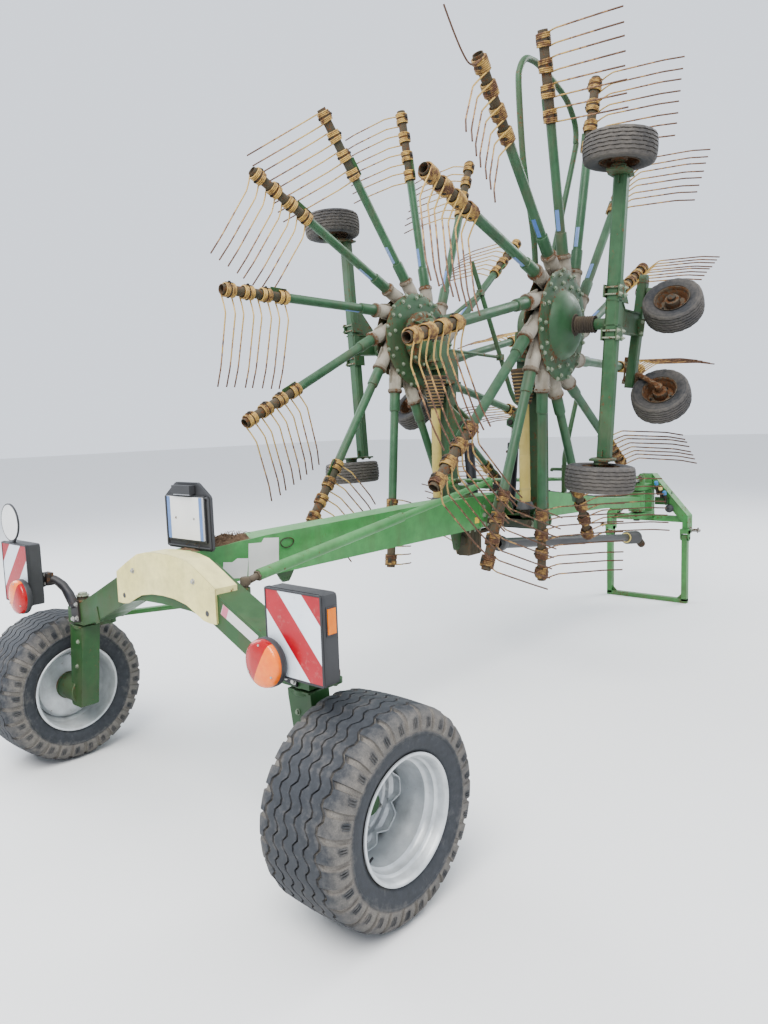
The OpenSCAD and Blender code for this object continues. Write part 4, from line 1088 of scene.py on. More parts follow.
    # drive shaft: yellow tube guard, cups and a ribbed cone
    m = Mesh()
    X, Y = 363, 2487
    turned(m, (X, Y, 0), (0, 0, 1), [(32, 1245), (36, 1248), (36, 1330), (38, 1332), (38, 1346), (36, 1348), (36, 1560), (34.5, 1562), (34.5, 1900), (33, 1902)], 40, 0, S,
           [.6, .5, .2, .6, .6, .2, .3, .4, .2, .5])
    turned(m, (X, Y, 0), (0, 0, 1), [(34, 1206), (60, 1206), (62, 1209), (61, 1216), (55, 1228), (50, 1246), (44, 1254), (36, 1256)], 40, 1, S, 0.5)
    prof, at = [(34, 1896), (44, 1896), (47, 1902)], [.5, .5, .5]
    nrib = 9
    for i in range(nrib):
        z, r = 1908 + i * 22, 50 + i * 3.6
        prof += [(r, z), (r + 3.5, z + 3), (r + 3.5, z + 11), (r + .5, z + 14)]
        at += [.2, 1, 1, .2]
    prof += [(82, 2108), (84, 2112), (84, 2122), (82, 2124), (76, 2122), (40, 2060)]
    at += [.6, .9, .9, .5, .3, .3]
    turned(m, (X, Y, 0), (0, 0, 1), prof, 48, 3, S, at)
    for i in range(nrib):
        ring(m, (X, Y, 1908 + i * 22 + 7), (0, 0, 1), 50 + i * 3.6, 54.2 + i * 3.6, 4.5, 48, 4, S)
    # joint below the guard
    turned(m, (X, Y, 0), (0, 0, 1), [(0, 1150), (30, 1150), (32, 1153), (32, 1168), (24, 1171), (24, 1184), (31, 1187), (31, 1206)], 32, 2, S, 0.6)
    pin(m, (X, Y, 1177), (1, 0, 0), 8, 60, 16, 2, S)
    m.build("drive_shaft_" + name, [GUARD, BLACK, DARK_IRON, BELLOWS, RING_GOLD], "boom_" + name, ["shaft_" + name], bevel=0.0, angle=30)

    # guard bow
    m = Mesh()
    if s > 0:
        pts = [(-30, 140), (-95, 500), (-228, 800), (-310, 1010), (-388, 1340), (-380, 1430), (-330, 1495), (-250, 1520), (-105, 1522), (230, 1460), (370, 1385), (430, 1320), (445, 1240), (415, 1100), (60, 140)]
        path = spline([V(-0.130, y / 1000, u / 1000) for y, u in pts], 6)
        m.tube(path, 0.0188, 16, 0, True, 0.2, M=R)
        for y, u in ((-38, 160), (68, 160)):
            m.box((-0.130, y / 1000, u / 1000), (0.05, 0.052, 0.05), R, 0, 0.4)
            m.bolt(R @ V(-0.156, y / 1000, u / 1000), R.to_3x3() @ V(-1, 0, 0), 0.010, None, 1)
    else:
        pts = [(566, 617), (655, 395), (955, -370), (1005, -445), (1070, -478)]
        m.tube(arc([V(-0.130, y / 1000, u / 1000) for y, u in pts], 0.06), 0.0188, 16, 0, True, 0.2, M=R)
        m.tube([V(-0.130, 0.06, 0.06), V(-0.130, 0.655, 0.395)], 0.0148, 12, 0, True, 0.2, M=R)
        m.tube([V(-0.130, 0.09, -0.06), V(-0.130, 0.848, -0.098)], 0.0128, 12, 0, True, 0.2, M=R)
        for y, u in ((0.650, 0.392), (0.845, -0.098)):
            m.box((-0.130, y, u), (0.046, 0.046, 0.046), R, 0, 0.4)
    m.build("guard_bow_" + name, [GREEN_DARK, BOLT_GREEN], "boom_" + name, ["bow_" + name], bevel=0.001, angle=35)

    # gauge-wheel beam and bracket
    m = Mesh()
    K = R @ Matrix.Translation((0.311, 0.601, -0.035)) @ Matrix.Rotation(math.radians(3.6), 4, "Y")
    oct_ = [(-40, -22), (-27, -35), (27, -35), (40, -22), (40, 22), (27, 35), (-27, 35), (-40, 22)]
    B = R @ Matrix.Translation((0.445, -0.195, 0))
    m.loft([[B @ V(x / 1000, y / 1000, z) for x, y in oct_] for z in (-0.799, 0.799)], 0, True, 0.15)
    for z in (-1, 1):
        pl = [(390, -140), (500, -140), (530, -250), (520, -350), (412, -350), (385, -250)]
        m.plate([(x / 1000, y / 1000) for x, y in pl], 0.012, R @ Matrix.Translation((0, 0, z * 0.806)), 0, 0.4)
        ax = R @ Matrix.Translation((0.466, -0.299, 0))
        q = 1 if z > 0 else -1
        m.lathe([(0.042, q * 0.812), (0.042, q * 0.832), (0.036, q * 0.838), (0.0275, q * 0.840), (0.0275, q * 0.930), (0.025, q * 0.932), (0, q * 0.932)], ax, 32, 0, attr=0.4)
        for x, y in ((0.412, -0.160), (0.482, -0.160), (0.412, -0.232), (0.486, -0.232)):
            m.bolt(R @ V(x, y, z * 0.812), R.to_3x3() @ V(0, 0, z), 0.009, None, 1)
        # short stiffeners under the flange
        m.box((0.445, -0.236, z * 0.775), (0.008, 0.016, 0.046), R, 0, 0.3)
    br = [(407, -230), (485, -230), (485, -150), (343, 282), (343, 638), (282, 638), (282, 260), (405, -130)]
    L = lambda u0, u1: m.plate([(x / 1000, y / 1000) for x, y in br], (u1 - u0) / 1000, R @ Matrix.Translation((0, 0, (u0 + u1) / 2000)), 0, 0.25)
    L(-34, -24), L(106, 116)
    inner = [(413, -222), (477, -222), (477, -152), (337, 280), (337, 630), (290, 630), (290, 262), (411, -130)]
    m.plate([(x / 1000, y / 1000) for x, y in inner], 0.128, R @ Matrix.Translation((0, 0, 0.041)), 0, 0.25)
    # clamp plates with studs and nuts round the beam
    for u in (-0.080, 0.165):
        m.box((0.488, -0.195, u), (0.010, 0.098, 0.070), R, 0, 0.4)
        for y in (-0.236, -0.154):
            for du in (-0.020, 0.020):
                m.bolt(R @ V(0.493, y, u + du), R.to_3x3() @ V(1, 0, 0), 0.0095, None, 1, stud=0.006)
                m.tube([V(0.395, y, u + du), V(0.49, y, u + du)], 0.006, 8, 1, True, 0.4, M=R)
        m.box((0.399, -0.195, u), (0.010, 0.098, 0.070), R, 0, 0.4)
    # gusset between bracket and beam
    gp = [(-0.160, 0.118), (-0.160, 0.330), (-0.140, 0.340), (0.05, 0.118)]
    m.plate([(y, u) for y, u in gp], 0.010, R @ axes((0.440, 0, 0), V(0, 1, 0), V(0, 0, 1), V(1, 0, 0)), 0, 0.3)
    # bearing block on the rotor's axle
    m.lathe([(0.036, 0.350), (0.056, 0.352), (0.060, 0.358), (0.060, 0.372)], T, 36, 0, attr=0.4)
    # rocker beam of the castors, with end caps, bushes and pins' washers
    sec = [(-31, -27), (-23, -35), (23, -35), (31, -27), (31, 27), (23, 35), (-23, 35), (-31, 27)]
    m.loft([[K @ V(x / 1000, y / 1000, z) for x, y in sec] for z in (-0.340, 0.346)], 0, True, 0.15)
    for z in (-0.3395, 0.3455):
        m.loft([[K @ V(x * 1.0 / 1000, y * 1.0 / 1000, z + d) for x, y in sec] for d in (-0.004, 0.003)], 2, True, 0.5)
    m.tube([V(-0.022, 0, 0.372), V(0.026, 0, 0.372)], 0.0295, 28, 0, True, 0.3, M=K)
    m.box((0.004, 0, 0.352), (0.050, 0.058, 0.04), K, 0, 0.4)
    for z in (-0.290, 0.290):
        m.lathe([(0.0155, -0.0362), (0.030, -0.0362), (0.031, -0.034), (0.031, -0.031)], K @ Matrix.Translation((0, 0, z)) @ Matrix.Rotation(math.radians(90), 4, "Y"), 28, 1, attr=0.6)
    # clamp of the rocker: plate with four bolts
    m.box((0.020, -0.052, 0.055), (0.086, 0.010, 0.112), K, 0, 0.4)
    for x in (-0.010, 0.050):
        for z in (0.018, 0.092):
            m.bolt(K @ V(x, -0.057, z), K.to_3x3() @ V(0, -1, 0), 0.009, None, 1, stud=0.006)
    # short spring link beside the beam
    m.tube([V(-0.045, -0.012, -0.300), V(-0.045, -0.012, -0.160)], 0.0065, 10, 1, True, 0.5, M=K)
    for z in (-0.305, -0.155):
        m.box((-0.042, -0.012, z), (0.022, 0.026, 0.030), K, 1, 0.6)
    m.build("gauge_beam_" + name, [GREEN_DARK, BOLT_GREEN, DARK_IRON], "boom_" + name, ["post_" + name], bevel=0.002, angle=35)

    # castor arms
    for z, zn in ((1, "top"), (-1, "low")):
        C = K @ Matrix.Translation((0, 0, z * 0.290))
        A = C @ Matrix.Rotation(math.radians(-40), 4, "X")
        m = Mesh()
        Tc = C @ Matrix.Rotation(math.radians(90), 4, "Y")
        m.lathe([(0.0145, -0.0355), (0.0145, 0.033), (0.026, 0.034), (0.0278, 0.036), (0.0278, 0.061), (0.026, 0.0635), (0, 0.0635)], Tc, 32, 0, attr=.3)
        m.lathe([(0.015, -0.0385), (0.022, -0.0382), (0.022, -0.0365), (0.0145, -0.0362)], Tc, 24, 1, attr=.5)
        path = arc([V(0.050, 0, 0), V(0.064, 0.098 * z, -0.022), V(0.241, 0.104 * z, -0.120)], 0.045, 8)
        m.tube(path, [0.0155] * len(path), 18, 0, True, 0.5, M=A)
        q = 1 if z > 0 else -1
        ax = A @ Matrix.Translation((0.241, 0, -0.120)) @ Matrix.Rotation(math.radians(-90 * q), 4, "X")
        m.lathe([(0, 0.112), (0.0235, 0.112), (0.025, 0.110), (0.025, 0.0935), (0.0195, 0.091), (0.0195, -0.074), (0.016, -0.076), (0, -0.076)], ax, 28, 0, attr=.4)
        m.lathe([(0, -0.0815), (0.024, -0.0815), (0.026, -0.079), (0.026, -0.0625), (0.0205, -0.0620)], ax, 28, 1, attr=.6)
        m.build("castor_arm_%s_%s" % (zn, name), [GREEN_DARK if z > 0 else TAN_ARM, DARK_IRON], "castor_%s_%s" % (zn, name), ["castor_%s_%s" % (zn, name)], bevel=0.0, angle=35)

    # fold cylinder
    D = (50 / 582.151, 0, 580 / 582.151)
    o = (150, 2635, 1200)
    m = Mesh()
    turned(m, o, D, [(0, 18), (33, 18), (38, 24), (38, 60), (37, 62), (37, 398), (40, 401), (40, 436), (37, 440), (21, 440), (20.5, 432)], 48, 0, S, [.4, .4, .5, .4, .1, .1, .5, .5, .6, .6, .6])
    turned(m, o, (0, 1, 0), [(20, -35), (30, -35), (32, -33), (32, 33), (30, 35), (20, 35)], 32, 0, S, .4)
    pin(m, o, (0, 1, 0), 19.9, 100, 24, 1, S)
    for t in (52, 380):
        e = [o[i] + D[i] * t for i in range(3)]
        turned(m, (e[0] - 34, e[1], e[2]), (-1, 0, 0), [(12, 0), (12, 8), (9, 9), (9, 18), (0, 18)], 12, 1, S, .5)
    m.build("fold_cylinder_" + name, [BLACK_PAINT, DARK_IRON], "barrel_" + name, ["barrel_" + name], bevel=0.0, angle=32)
    m = Mesh()
    turned(m, o, D, [(0, 62), (19.2, 62), (19.8, 64), (19.8, 548), (24, 551), (24, 560), (0, 562)], 40, 0, S, 0.0)
    turned(m, (200, 2635, 1780), (0, 1, 0), [(19.9, -25), (31, -25), (33, -23), (33, 23), (31, 25), (19.9, 25), (19.9, -25)], 32, 1, S, .4)
    m.build("fold_rod_" + name, [CHROME, BLACK_PAINT], "ram_" + name, ["ram_" + name], bevel=0.0, angle=32)


TAN_ARM = painted("dusty_arm", (0.13, 0.095, 0.06), (0.20, 0.15, 0.10), dust=(0.3, 0.24, 0.17), dust_amt=0.5, rust=2.0, grime=0.6, rough=0.7)
for s, name in SIDES:
    make_boom(s, name)


# ------------------------------------------------------------------ frame, axle, boards, steering and hitch
def side_m(s):
    return Matrix.Diagonal((s, 1, 1, 1))


def eye(m, p, r0, r1, h, mat, M=None, d=(0, 0, 1)):
    ring(m, p, d, r0, r1, h, 28, mat, M)


def ball(m, p, r, mat, M=None, d=(0, 0, 1)):
    """Ball joint: cup, rubber cuff and nut, about a point along a direction."""
    turned(m, p, d, [(0, -r * .9), (r * .8, -r * .85), (r, -r * .5), (r, r * .3), (r * .85, r * .6), (r * .55, r * .75), (r * .62, r * .95), (r * .4, r * 1.2), (0, r * 1.2)], 24, mat, M, .5)


def heap(m, x0, x1, y0, y1, top, h, mat, seed=2.0, slope=0.0):
    """A lump of soil and hay with a rough surface."""
    nx, ny = 26, 40
    vs, fs = [], []
    for j in range(ny + 1):
        for i in range(nx + 1):
            u, v = i / nx, j / ny
            e = (math.sin(math.pi * u) * math.sin(math.pi * v)) ** 0.45
            n = 0.55 + 0.25 * math.sin(u * 9.3 + seed + 2.2 * math.sin(v * 7.1)) + 0.16 * math.sin(v * 17.0 + u * 11.0 + seed * 2) + 0.10 * math.sin(u * 41 + v * 37) + random.uniform(-.07, .07)
            x = x0 + (x1 - x0) * u + 6 * math.sin(v * 13 + seed)
            y = y0 + (y1 - y0) * v + 7 * math.sin(u * 11 + seed)
            vs.append(P(x, y, top + slope * (y - y0) - 2 + h * e * max(n, 0.08)))
    for j in range(ny):
        for i in range(nx):
            a = j * (nx + 1) + i
            fs.append([a, a + 1, a + nx + 2, a + nx + 1])
    m.add(vs, fs, mat, 0.5)
    for q in range(90):
        u, v = random.uniform(.08, .92), random.uniform(.08, .92)
        x, y = x0 + (x1 - x0) * u, y0 + (y1 - y0) * v
        a, L = random.uniform(0, 6.28), random.uniform(18, 55)
        z = top + slope * (y - y0) + h * .55
        m.tube([P(x, y, z - 10), P(x + L * .5 * math.cos(a), y + L * .5 * math.sin(a), z + random.uniform(4, 16)), P(x + L * math.cos(a), y + L * math.sin(a), z + random.uniform(-14, 12))], 0.0011, 4, mat, True, 0.9)


BEAM_TOP = [(60, 1245), (480, 1270), (1600, 1290), (2560, 1290), (3350, 1235), (4280, 1100), (5000, 1040)]


def beam_top(y):
    for (a, b), (c, d) in zip(BEAM_TOP, BEAM_TOP[1:]):
        if a <= y <= c:
            return b + (d - b) * (y - a) / (c - a)
    return 1245


def make_beam():
    m = Mesh()
    G, G2, IR, BO, HO = 0, 1, 2, 3, 4
    # the beam is in the sky-lit green: its lighter colour and lighter top are painted light
    mats = [GREEN_LIT, GREEN, DARK_IRON, BOLT_GREEN, HOSE]
    poly = BEAM_TOP + [(5000, 935), (4280, 1010), (3350, 1045), (3050, 1072), (2100, 1072), (560, 1066), (60, 1075)]
    slab(m, "yz", poly, -85, 85, None, G, 0.1)
    # end cap, joint plates and the pivot's tube
    block(m, -78, 78, 54, 61, 1085, 1238, None, G, .5)
    turned(m, (0, 5120, 985), (0, 0, 1), [(31, -95), (70, -95), (75, -91), (75, -70), (72, -66), (72, 66), (75, 70), (75, 91), (70, 95), (31, 95)], 48, G, None, [.5, .5, .6, .4, .2, .2, .4, .6, .5, .5])
    for x in (-60, 45):
        slab(m, "yz", [(4870, 942), (4990, 938), (5060, 945), (5060, 1030), (4990, 1036), (4870, 1050)], x, x + 15, None, G, .4)
    for q in (-1, 1):
        slab(m, "yz", [(2360, 1080), (2860, 1080), (2900, 1100), (2900, 1170), (2780, 1250), (2420, 1262), (2360, 1230)], q * 85, q * 93, None, G, .2)
        for y, z in ((2395, 1100), (2395, 1215), (2400, 1160), (2840, 1100), (2865, 1160), (2810, 1205)):
            m.bolt(P(q * 93, y, z), V(q, 0, 0), 0.013, None, BO)
    slab(m, "yz", [(555, 1068), (675, 1068), (650, 1030), (634, 1012), (596, 1012), (580, 1030)], 60, 72, None, G2, .3)
    for y in (598, 632):
        ring(m, (72, y, 1030), (1, 0, 0), 7, 13, 3, 20, G2)
    for y in (2200,):
        slab(m, "yz", [(y - 58, 1068), (y + 58, 1068), (y + 24, 945), (y + 12, 938), (y - 12, 938), (y - 24, 945)], -8, 8, None, G2, .3)
        ring(m, (0, y, 965), (1, 0, 0), 9, 17, 20, 20, G2)
    # relay post of the steering on top, and a turned post under the beam's rear end
    turned(m, (0, 2300, 1286), (0, 0, 1), [(70, 0), (70, 10), (48, 16), (44, 24), (44, 62), (40, 65), (0, 65)], 40, G2, None, .4)
    turned(m, (0, 250, 1006), (0, 0, 1), [(0, 4), (42, 4), (45, 7), (45, 80), (40, 84)], 40, G2, None, .4)
    # hose rest
    bar(m, [(26, 3650, 1190), (26, 3653, 1300), (26, 3660, 1485), (26, 3780, 1750), (26, 3880, 1958)], 19, 20, G2, None, .2, 120)
    bar(m, [(26, 3650, 1190), (26, 3656, 1420)], 22, 20, G2, None, .3)
    bar(m, [(-90, 3655, 1372), (-84, 3655, 1386), (-70, 3655, 1386), (100, 3655, 1386), (114, 3655, 1386), (120, 3655, 1372)], 13, 14, G2, None, .3, 8)
    slab(m, "xy", [(-20, 3600), (72, 3600), (72, 3700), (-20, 3700)], beam_top(3650) - 2, beam_top(3650) + 8, None, G2, .4)
    for x, y in ((-8, 3612), (60, 3612), (-8, 3688), (60, 3688)):
        m.bolt(P(x, y, beam_top(3650) + 8), V(0, 0, 1), 0.009, None, BO)
    # oil lines along the left of the top, held by clips
    for k, x in enumerate((-62, -46, -30)):
        pts = [(x, y, beam_top(y) + 8 + 2 * math.sin(y / 170 + k)) for y in range(2900, 4900, 100)]
        bar(m, [(x, 2760, beam_top(2760) + 12)] + pts + [(x, 4960, beam_top(4960) + 14)], 7, 8, HO, None, .3)
    for y in (3000, 3500, 4100, 4700):
        block(m, -74, -18, y - 9, y + 9, beam_top(y) - 1, beam_top(y) + 18, None, IR, .4)
        m.bolt(P(-54, y, beam_top(y) + 18), V(0, 0, 1), 0.006, None, IR)
    m.build("frame_beam", mats, "chassis", ["main_beam"], bevel=0.0045, angle=35, segs=3)

    # soil on the beam's top, two blank worn labels on its right side, and a wire loop hung there
    m = Mesh()
    heap(m, SOIL_X[0], SOIL_X[1], SOIL_Y[0], SOIL_Y[1], beam_top(SOIL_Y[0]), 48, 0, 2.0, 0.059)
    m.build("beam_soil", [SOIL], "chassis", angle=180)
    m = Mesh()
    for pts, mt in LABELS:
        slab(m, "yz", pts, 85.2, 86.4, None, mt, .5)
    m.tube([P(90 + 4 * math.sin(a * 2), WIRE_Y + 44 * math.cos(a), 1215 + 24 * math.sin(a)) for a in [k * math.pi / 12 for k in range(24)]], 0.0028, 6, 2, True, 0.4, closed=True)
    m.build("beam_labels", [BLACK, WHITE_STICK, DARK_IRON, YELLOW_TAG, RED_BROWN], "chassis", bevel=0.0002, angle=40)

    # middle of the frame
    m = Mesh()
    mats = [GREEN, DARK_IRON, BOLT_GREEN, BLACK_PAINT]
    for s in (1, -1):
        S = side_m(s)
        block(m, 85, 305, 2540, 2730, 1065, 1150, S, 0, .3)
        for y in (-95, 75):
            slab(m, "xz", [(145, 1150), (365, 1164), (400, 1156), (420, 1136), (427, 1104), (423, 1080), (412, 1068), (400, 1064), (85, 1064), (85, 1120)], 2635 + y, 2655 + y, S, 0, .3)
            q = -1 if y < 0 else 1
            ring(m, (385, 2635 + (-97 if y < 0 else 97), 1100), (0, 1, 0), 30, 36, 5, 32, 0, S)
            m.bolt(S @ P(330, 2635 + q * 95, 1100), V(0, q, 0), 0.010, None, 2)
        for y in (-55, 40):
            slab(m, "xz", [(85, 1100), (210, 1130), (205, 1190), (195, 1225), (172, 1243), (150, 1245), (85, 1245)], 2635 + y, 2650 + y, S, 0, .3)
            ring(m, (150, 2635 + (-57 if y < 0 else 57), 1200), (0, 1, 0), 20, 31, 5, 28, 0, S)
        block(m, 86, 98, 2490, 2780, 1065, 1240, S, 0, .3)
        for y in (2510, 2760):
            for z in (1085, 1150, 1215):
                m.bolt(S @ P(98, y, z), V(s, 0, 0), 0.012, None, 2)
        # stop for the folded leg
        block(m, 245, 300, 2600, 2670, 1150, 1176, S, 1, .5)
    # valve block on top with its unions
    block(m, -60, 60, 2700, 2790, 1288, 1340, None, 3, .4)
    for x in (-40, -14, 12, 38):
        turned(m, (x, 2745, 1340), (0, 0, 1), [(9, 0), (9, 9), (7, 10), (7, 22), (0, 22)], 10, 1, None, .5)
    m.build("frame_middle", mats, "chassis", ["centre_frame"], bevel=0.003, angle=35)


SOIL_X, SOIL_Y = (-78, 78), (75, 420)
# blank worn labels on the beam's right side: outline along and up, and the material
LABELS = [([(204, 1098), (352, 1078), (366, 1172), (300, 1182), (268, 1168), (216, 1176)], 1), ([(360, 1078), (556, 1076), (566, 1248), (470, 1258), (452, 1238), (372, 1244)], 1),
          ([(2300, 1112), (2350, 1110), (2352, 1150), (2302, 1152)], 3)]
WIRE_Y = 618
AXLE = [(0, 1215), (200, 1205), (385, 1110), (790, 922), (935, 885), (935, 800), (780, 800), (620, 850), (330, 985), (200, 1010), (0, 1015)]


def make_axle():
    m = Mesh()
    mats = [GREEN, GREEN_LIT, BOLT_GREEN, DARK_IRON, WHITE_STICK, PINK_STICK]
    top = AXLE[:5]
    full = [(x, z) for x, z in AXLE] + [(-x, z) for x, z in AXLE[::-1][1:-1]]
    slab(m, "xz", full, -55, 95, None, 0, .15)
    for s in (1, -1):
        S = side_m(s)
        turned(m, (870, 0, 795), (0, 0, 1), [(31, 0), (52, 0), (55, 3), (55, 117), (52, 120), (31, 120)], 40, 0, S, .4)
        turned(m, (870, 0, 911), (0, 0, 1), [(31, 0), (64, 0), (66, 2), (66, 10), (62, 13), (31, 13)], 40, 0, S, .5)
        slab(m, "xz", [(600, 845), (640, 830), (660, 905), (620, 925)], -59, -55, S, 0, .4)
        for x, z in ((700, 890), (700, 850), (560, 960), (560, 915)):
            m.bolt(S @ P(x, 95, z), V(0, 1, 0), 0.010, None, 2)
    # blank worn strip on the right arm
    (ax, az), (bx, bz) = STICK
    dx, dz = bx - ax, bz - az
    L = math.hypot(dx, dz)
    ex, ez = dx / L, dz / L
    nx, nz = -ez, ex
    w = 24

    def strip_(t0, t1, mat, y):
        pts = [(ax + ex * t + nx * q, az + ez * t + nz * q) for t, q in ((t0, -w), (t1, -w), (t1, w), (t0, w))]
        slab(m, "xz", pts, y, y + 1.2, None, mat, .5)
    strip_(0, L, 4, -56.2)
    strip_(3, 40, 5, -56.9)
    m.build("rear_axle_beam", mats, "chassis", ["rear_axle"], bevel=0.004, angle=35, segs=3)

    # hood: pressed shell wrapped over the axle, its ends folded
    m = Mesh()
    up = [(-390, 1132), (-300, 1182), (-200, 1232), (-130, 1246), (-60, 1251), (60, 1251), (130, 1246), (200, 1232), (300, 1182), (390, 1132)]
    face = [(-390, 980)] + up + [(390, 980), (345, 979), (300, 985), (240, 1012), (180, 1038), (90, 1054), (0, 1058), (-90, 1054), (-180, 1038), (-240, 1012), (-300, 985), (-345, 979)]
    slab(m, "xz", face, -66, -59, None, 0, .1)
    low = [(x * 0.985, z - 6) for x, z in up]
    n = len(up)
    slab(m, "xz", up + low[::-1], -64, 54, None, 0, .1)
    for q in (-1, 1):
        block(m, q * 384, q * 390, -62, 54, 984, 1134, None, 0, .3)
        turned(m, (q * 330, -66, 1020), (0, -1, 0), [(12, -1), (13.5, .6), (15, .8), (16, 0)], 24, 0, None, .5)
        turned(m, (q * 330, -66.4, 1020), (0, -1, 0), [(0, 0), (12.5, 0)], 24, 1, None, .5)
        m.bolt(P(q * 240, -66, 1150), V(0, -1, 0), 0.009, None, 2)
    m.build("axle_hood_shell", [CREAM, BLACK, BOLT], "chassis", ["axle_hood"], bevel=0.005, angle=38, segs=4)

    # number plate carrier, blank plate and its lamp
    m = Mesh()
    fr = [(-175, 1262), (-163, 1250), (163, 1250), (175, 1262), (175, 1492), (168, 1504), (95, 1556), (82, 1562), (-82, 1562), (-95, 1556), (-168, 1504), (-175, 1492)]
    slab(m, "xz", fr, 96, 110, None, 0, .3)
    rim = [(-166, 1262), (166, 1262), (166, 1494), (-166, 1494)]
    for a, b in zip(rim, rim[1:] + rim[:1]):
        bar(m, [(a[0], 92, a[1]), (b[0], 92, b[1])], 6, 8, 0, None, .3)
    block(m, -145, 145, 86, 97, 1288, 1504, None, 0, .2)
    block(m, -70, 70, 60, 92, 1510, 1550, None, 0, .3)
    block(m, -62, 62, 64, 88, 1505, 1511, None, 4, .3)
    block(m, -137, 137, 77, 86.5, 1298, 1496, None, 1, .25)
    for q in (-1, 1):
        block(m, q * 112, q * 136.5, 76.0, 77.4, 1298.5, 1495.5, None, 2, .3)
        block(m, q * 60 - 12, q * 60 + 12, 110, 122, 1244, 1420, None, 0, .4)
        m.bolt(P(q * 60, 122, 1380), V(0, 1, 0), 0.007, None, 3)
    for x in (-70, 70):
        turned(m, (x, 77, 1397), (0, -1, 0), [(6, 0), (6, 1.2), (4, 2.2), (0, 2.4)], 14, 3, None, .3)
    m.build("plate_carrier", [BLACK, WHITE_STICK, BLUE_STICK, BOLT, CHROME], "chassis", ["plate_board"], bevel=0.0018, angle=38)


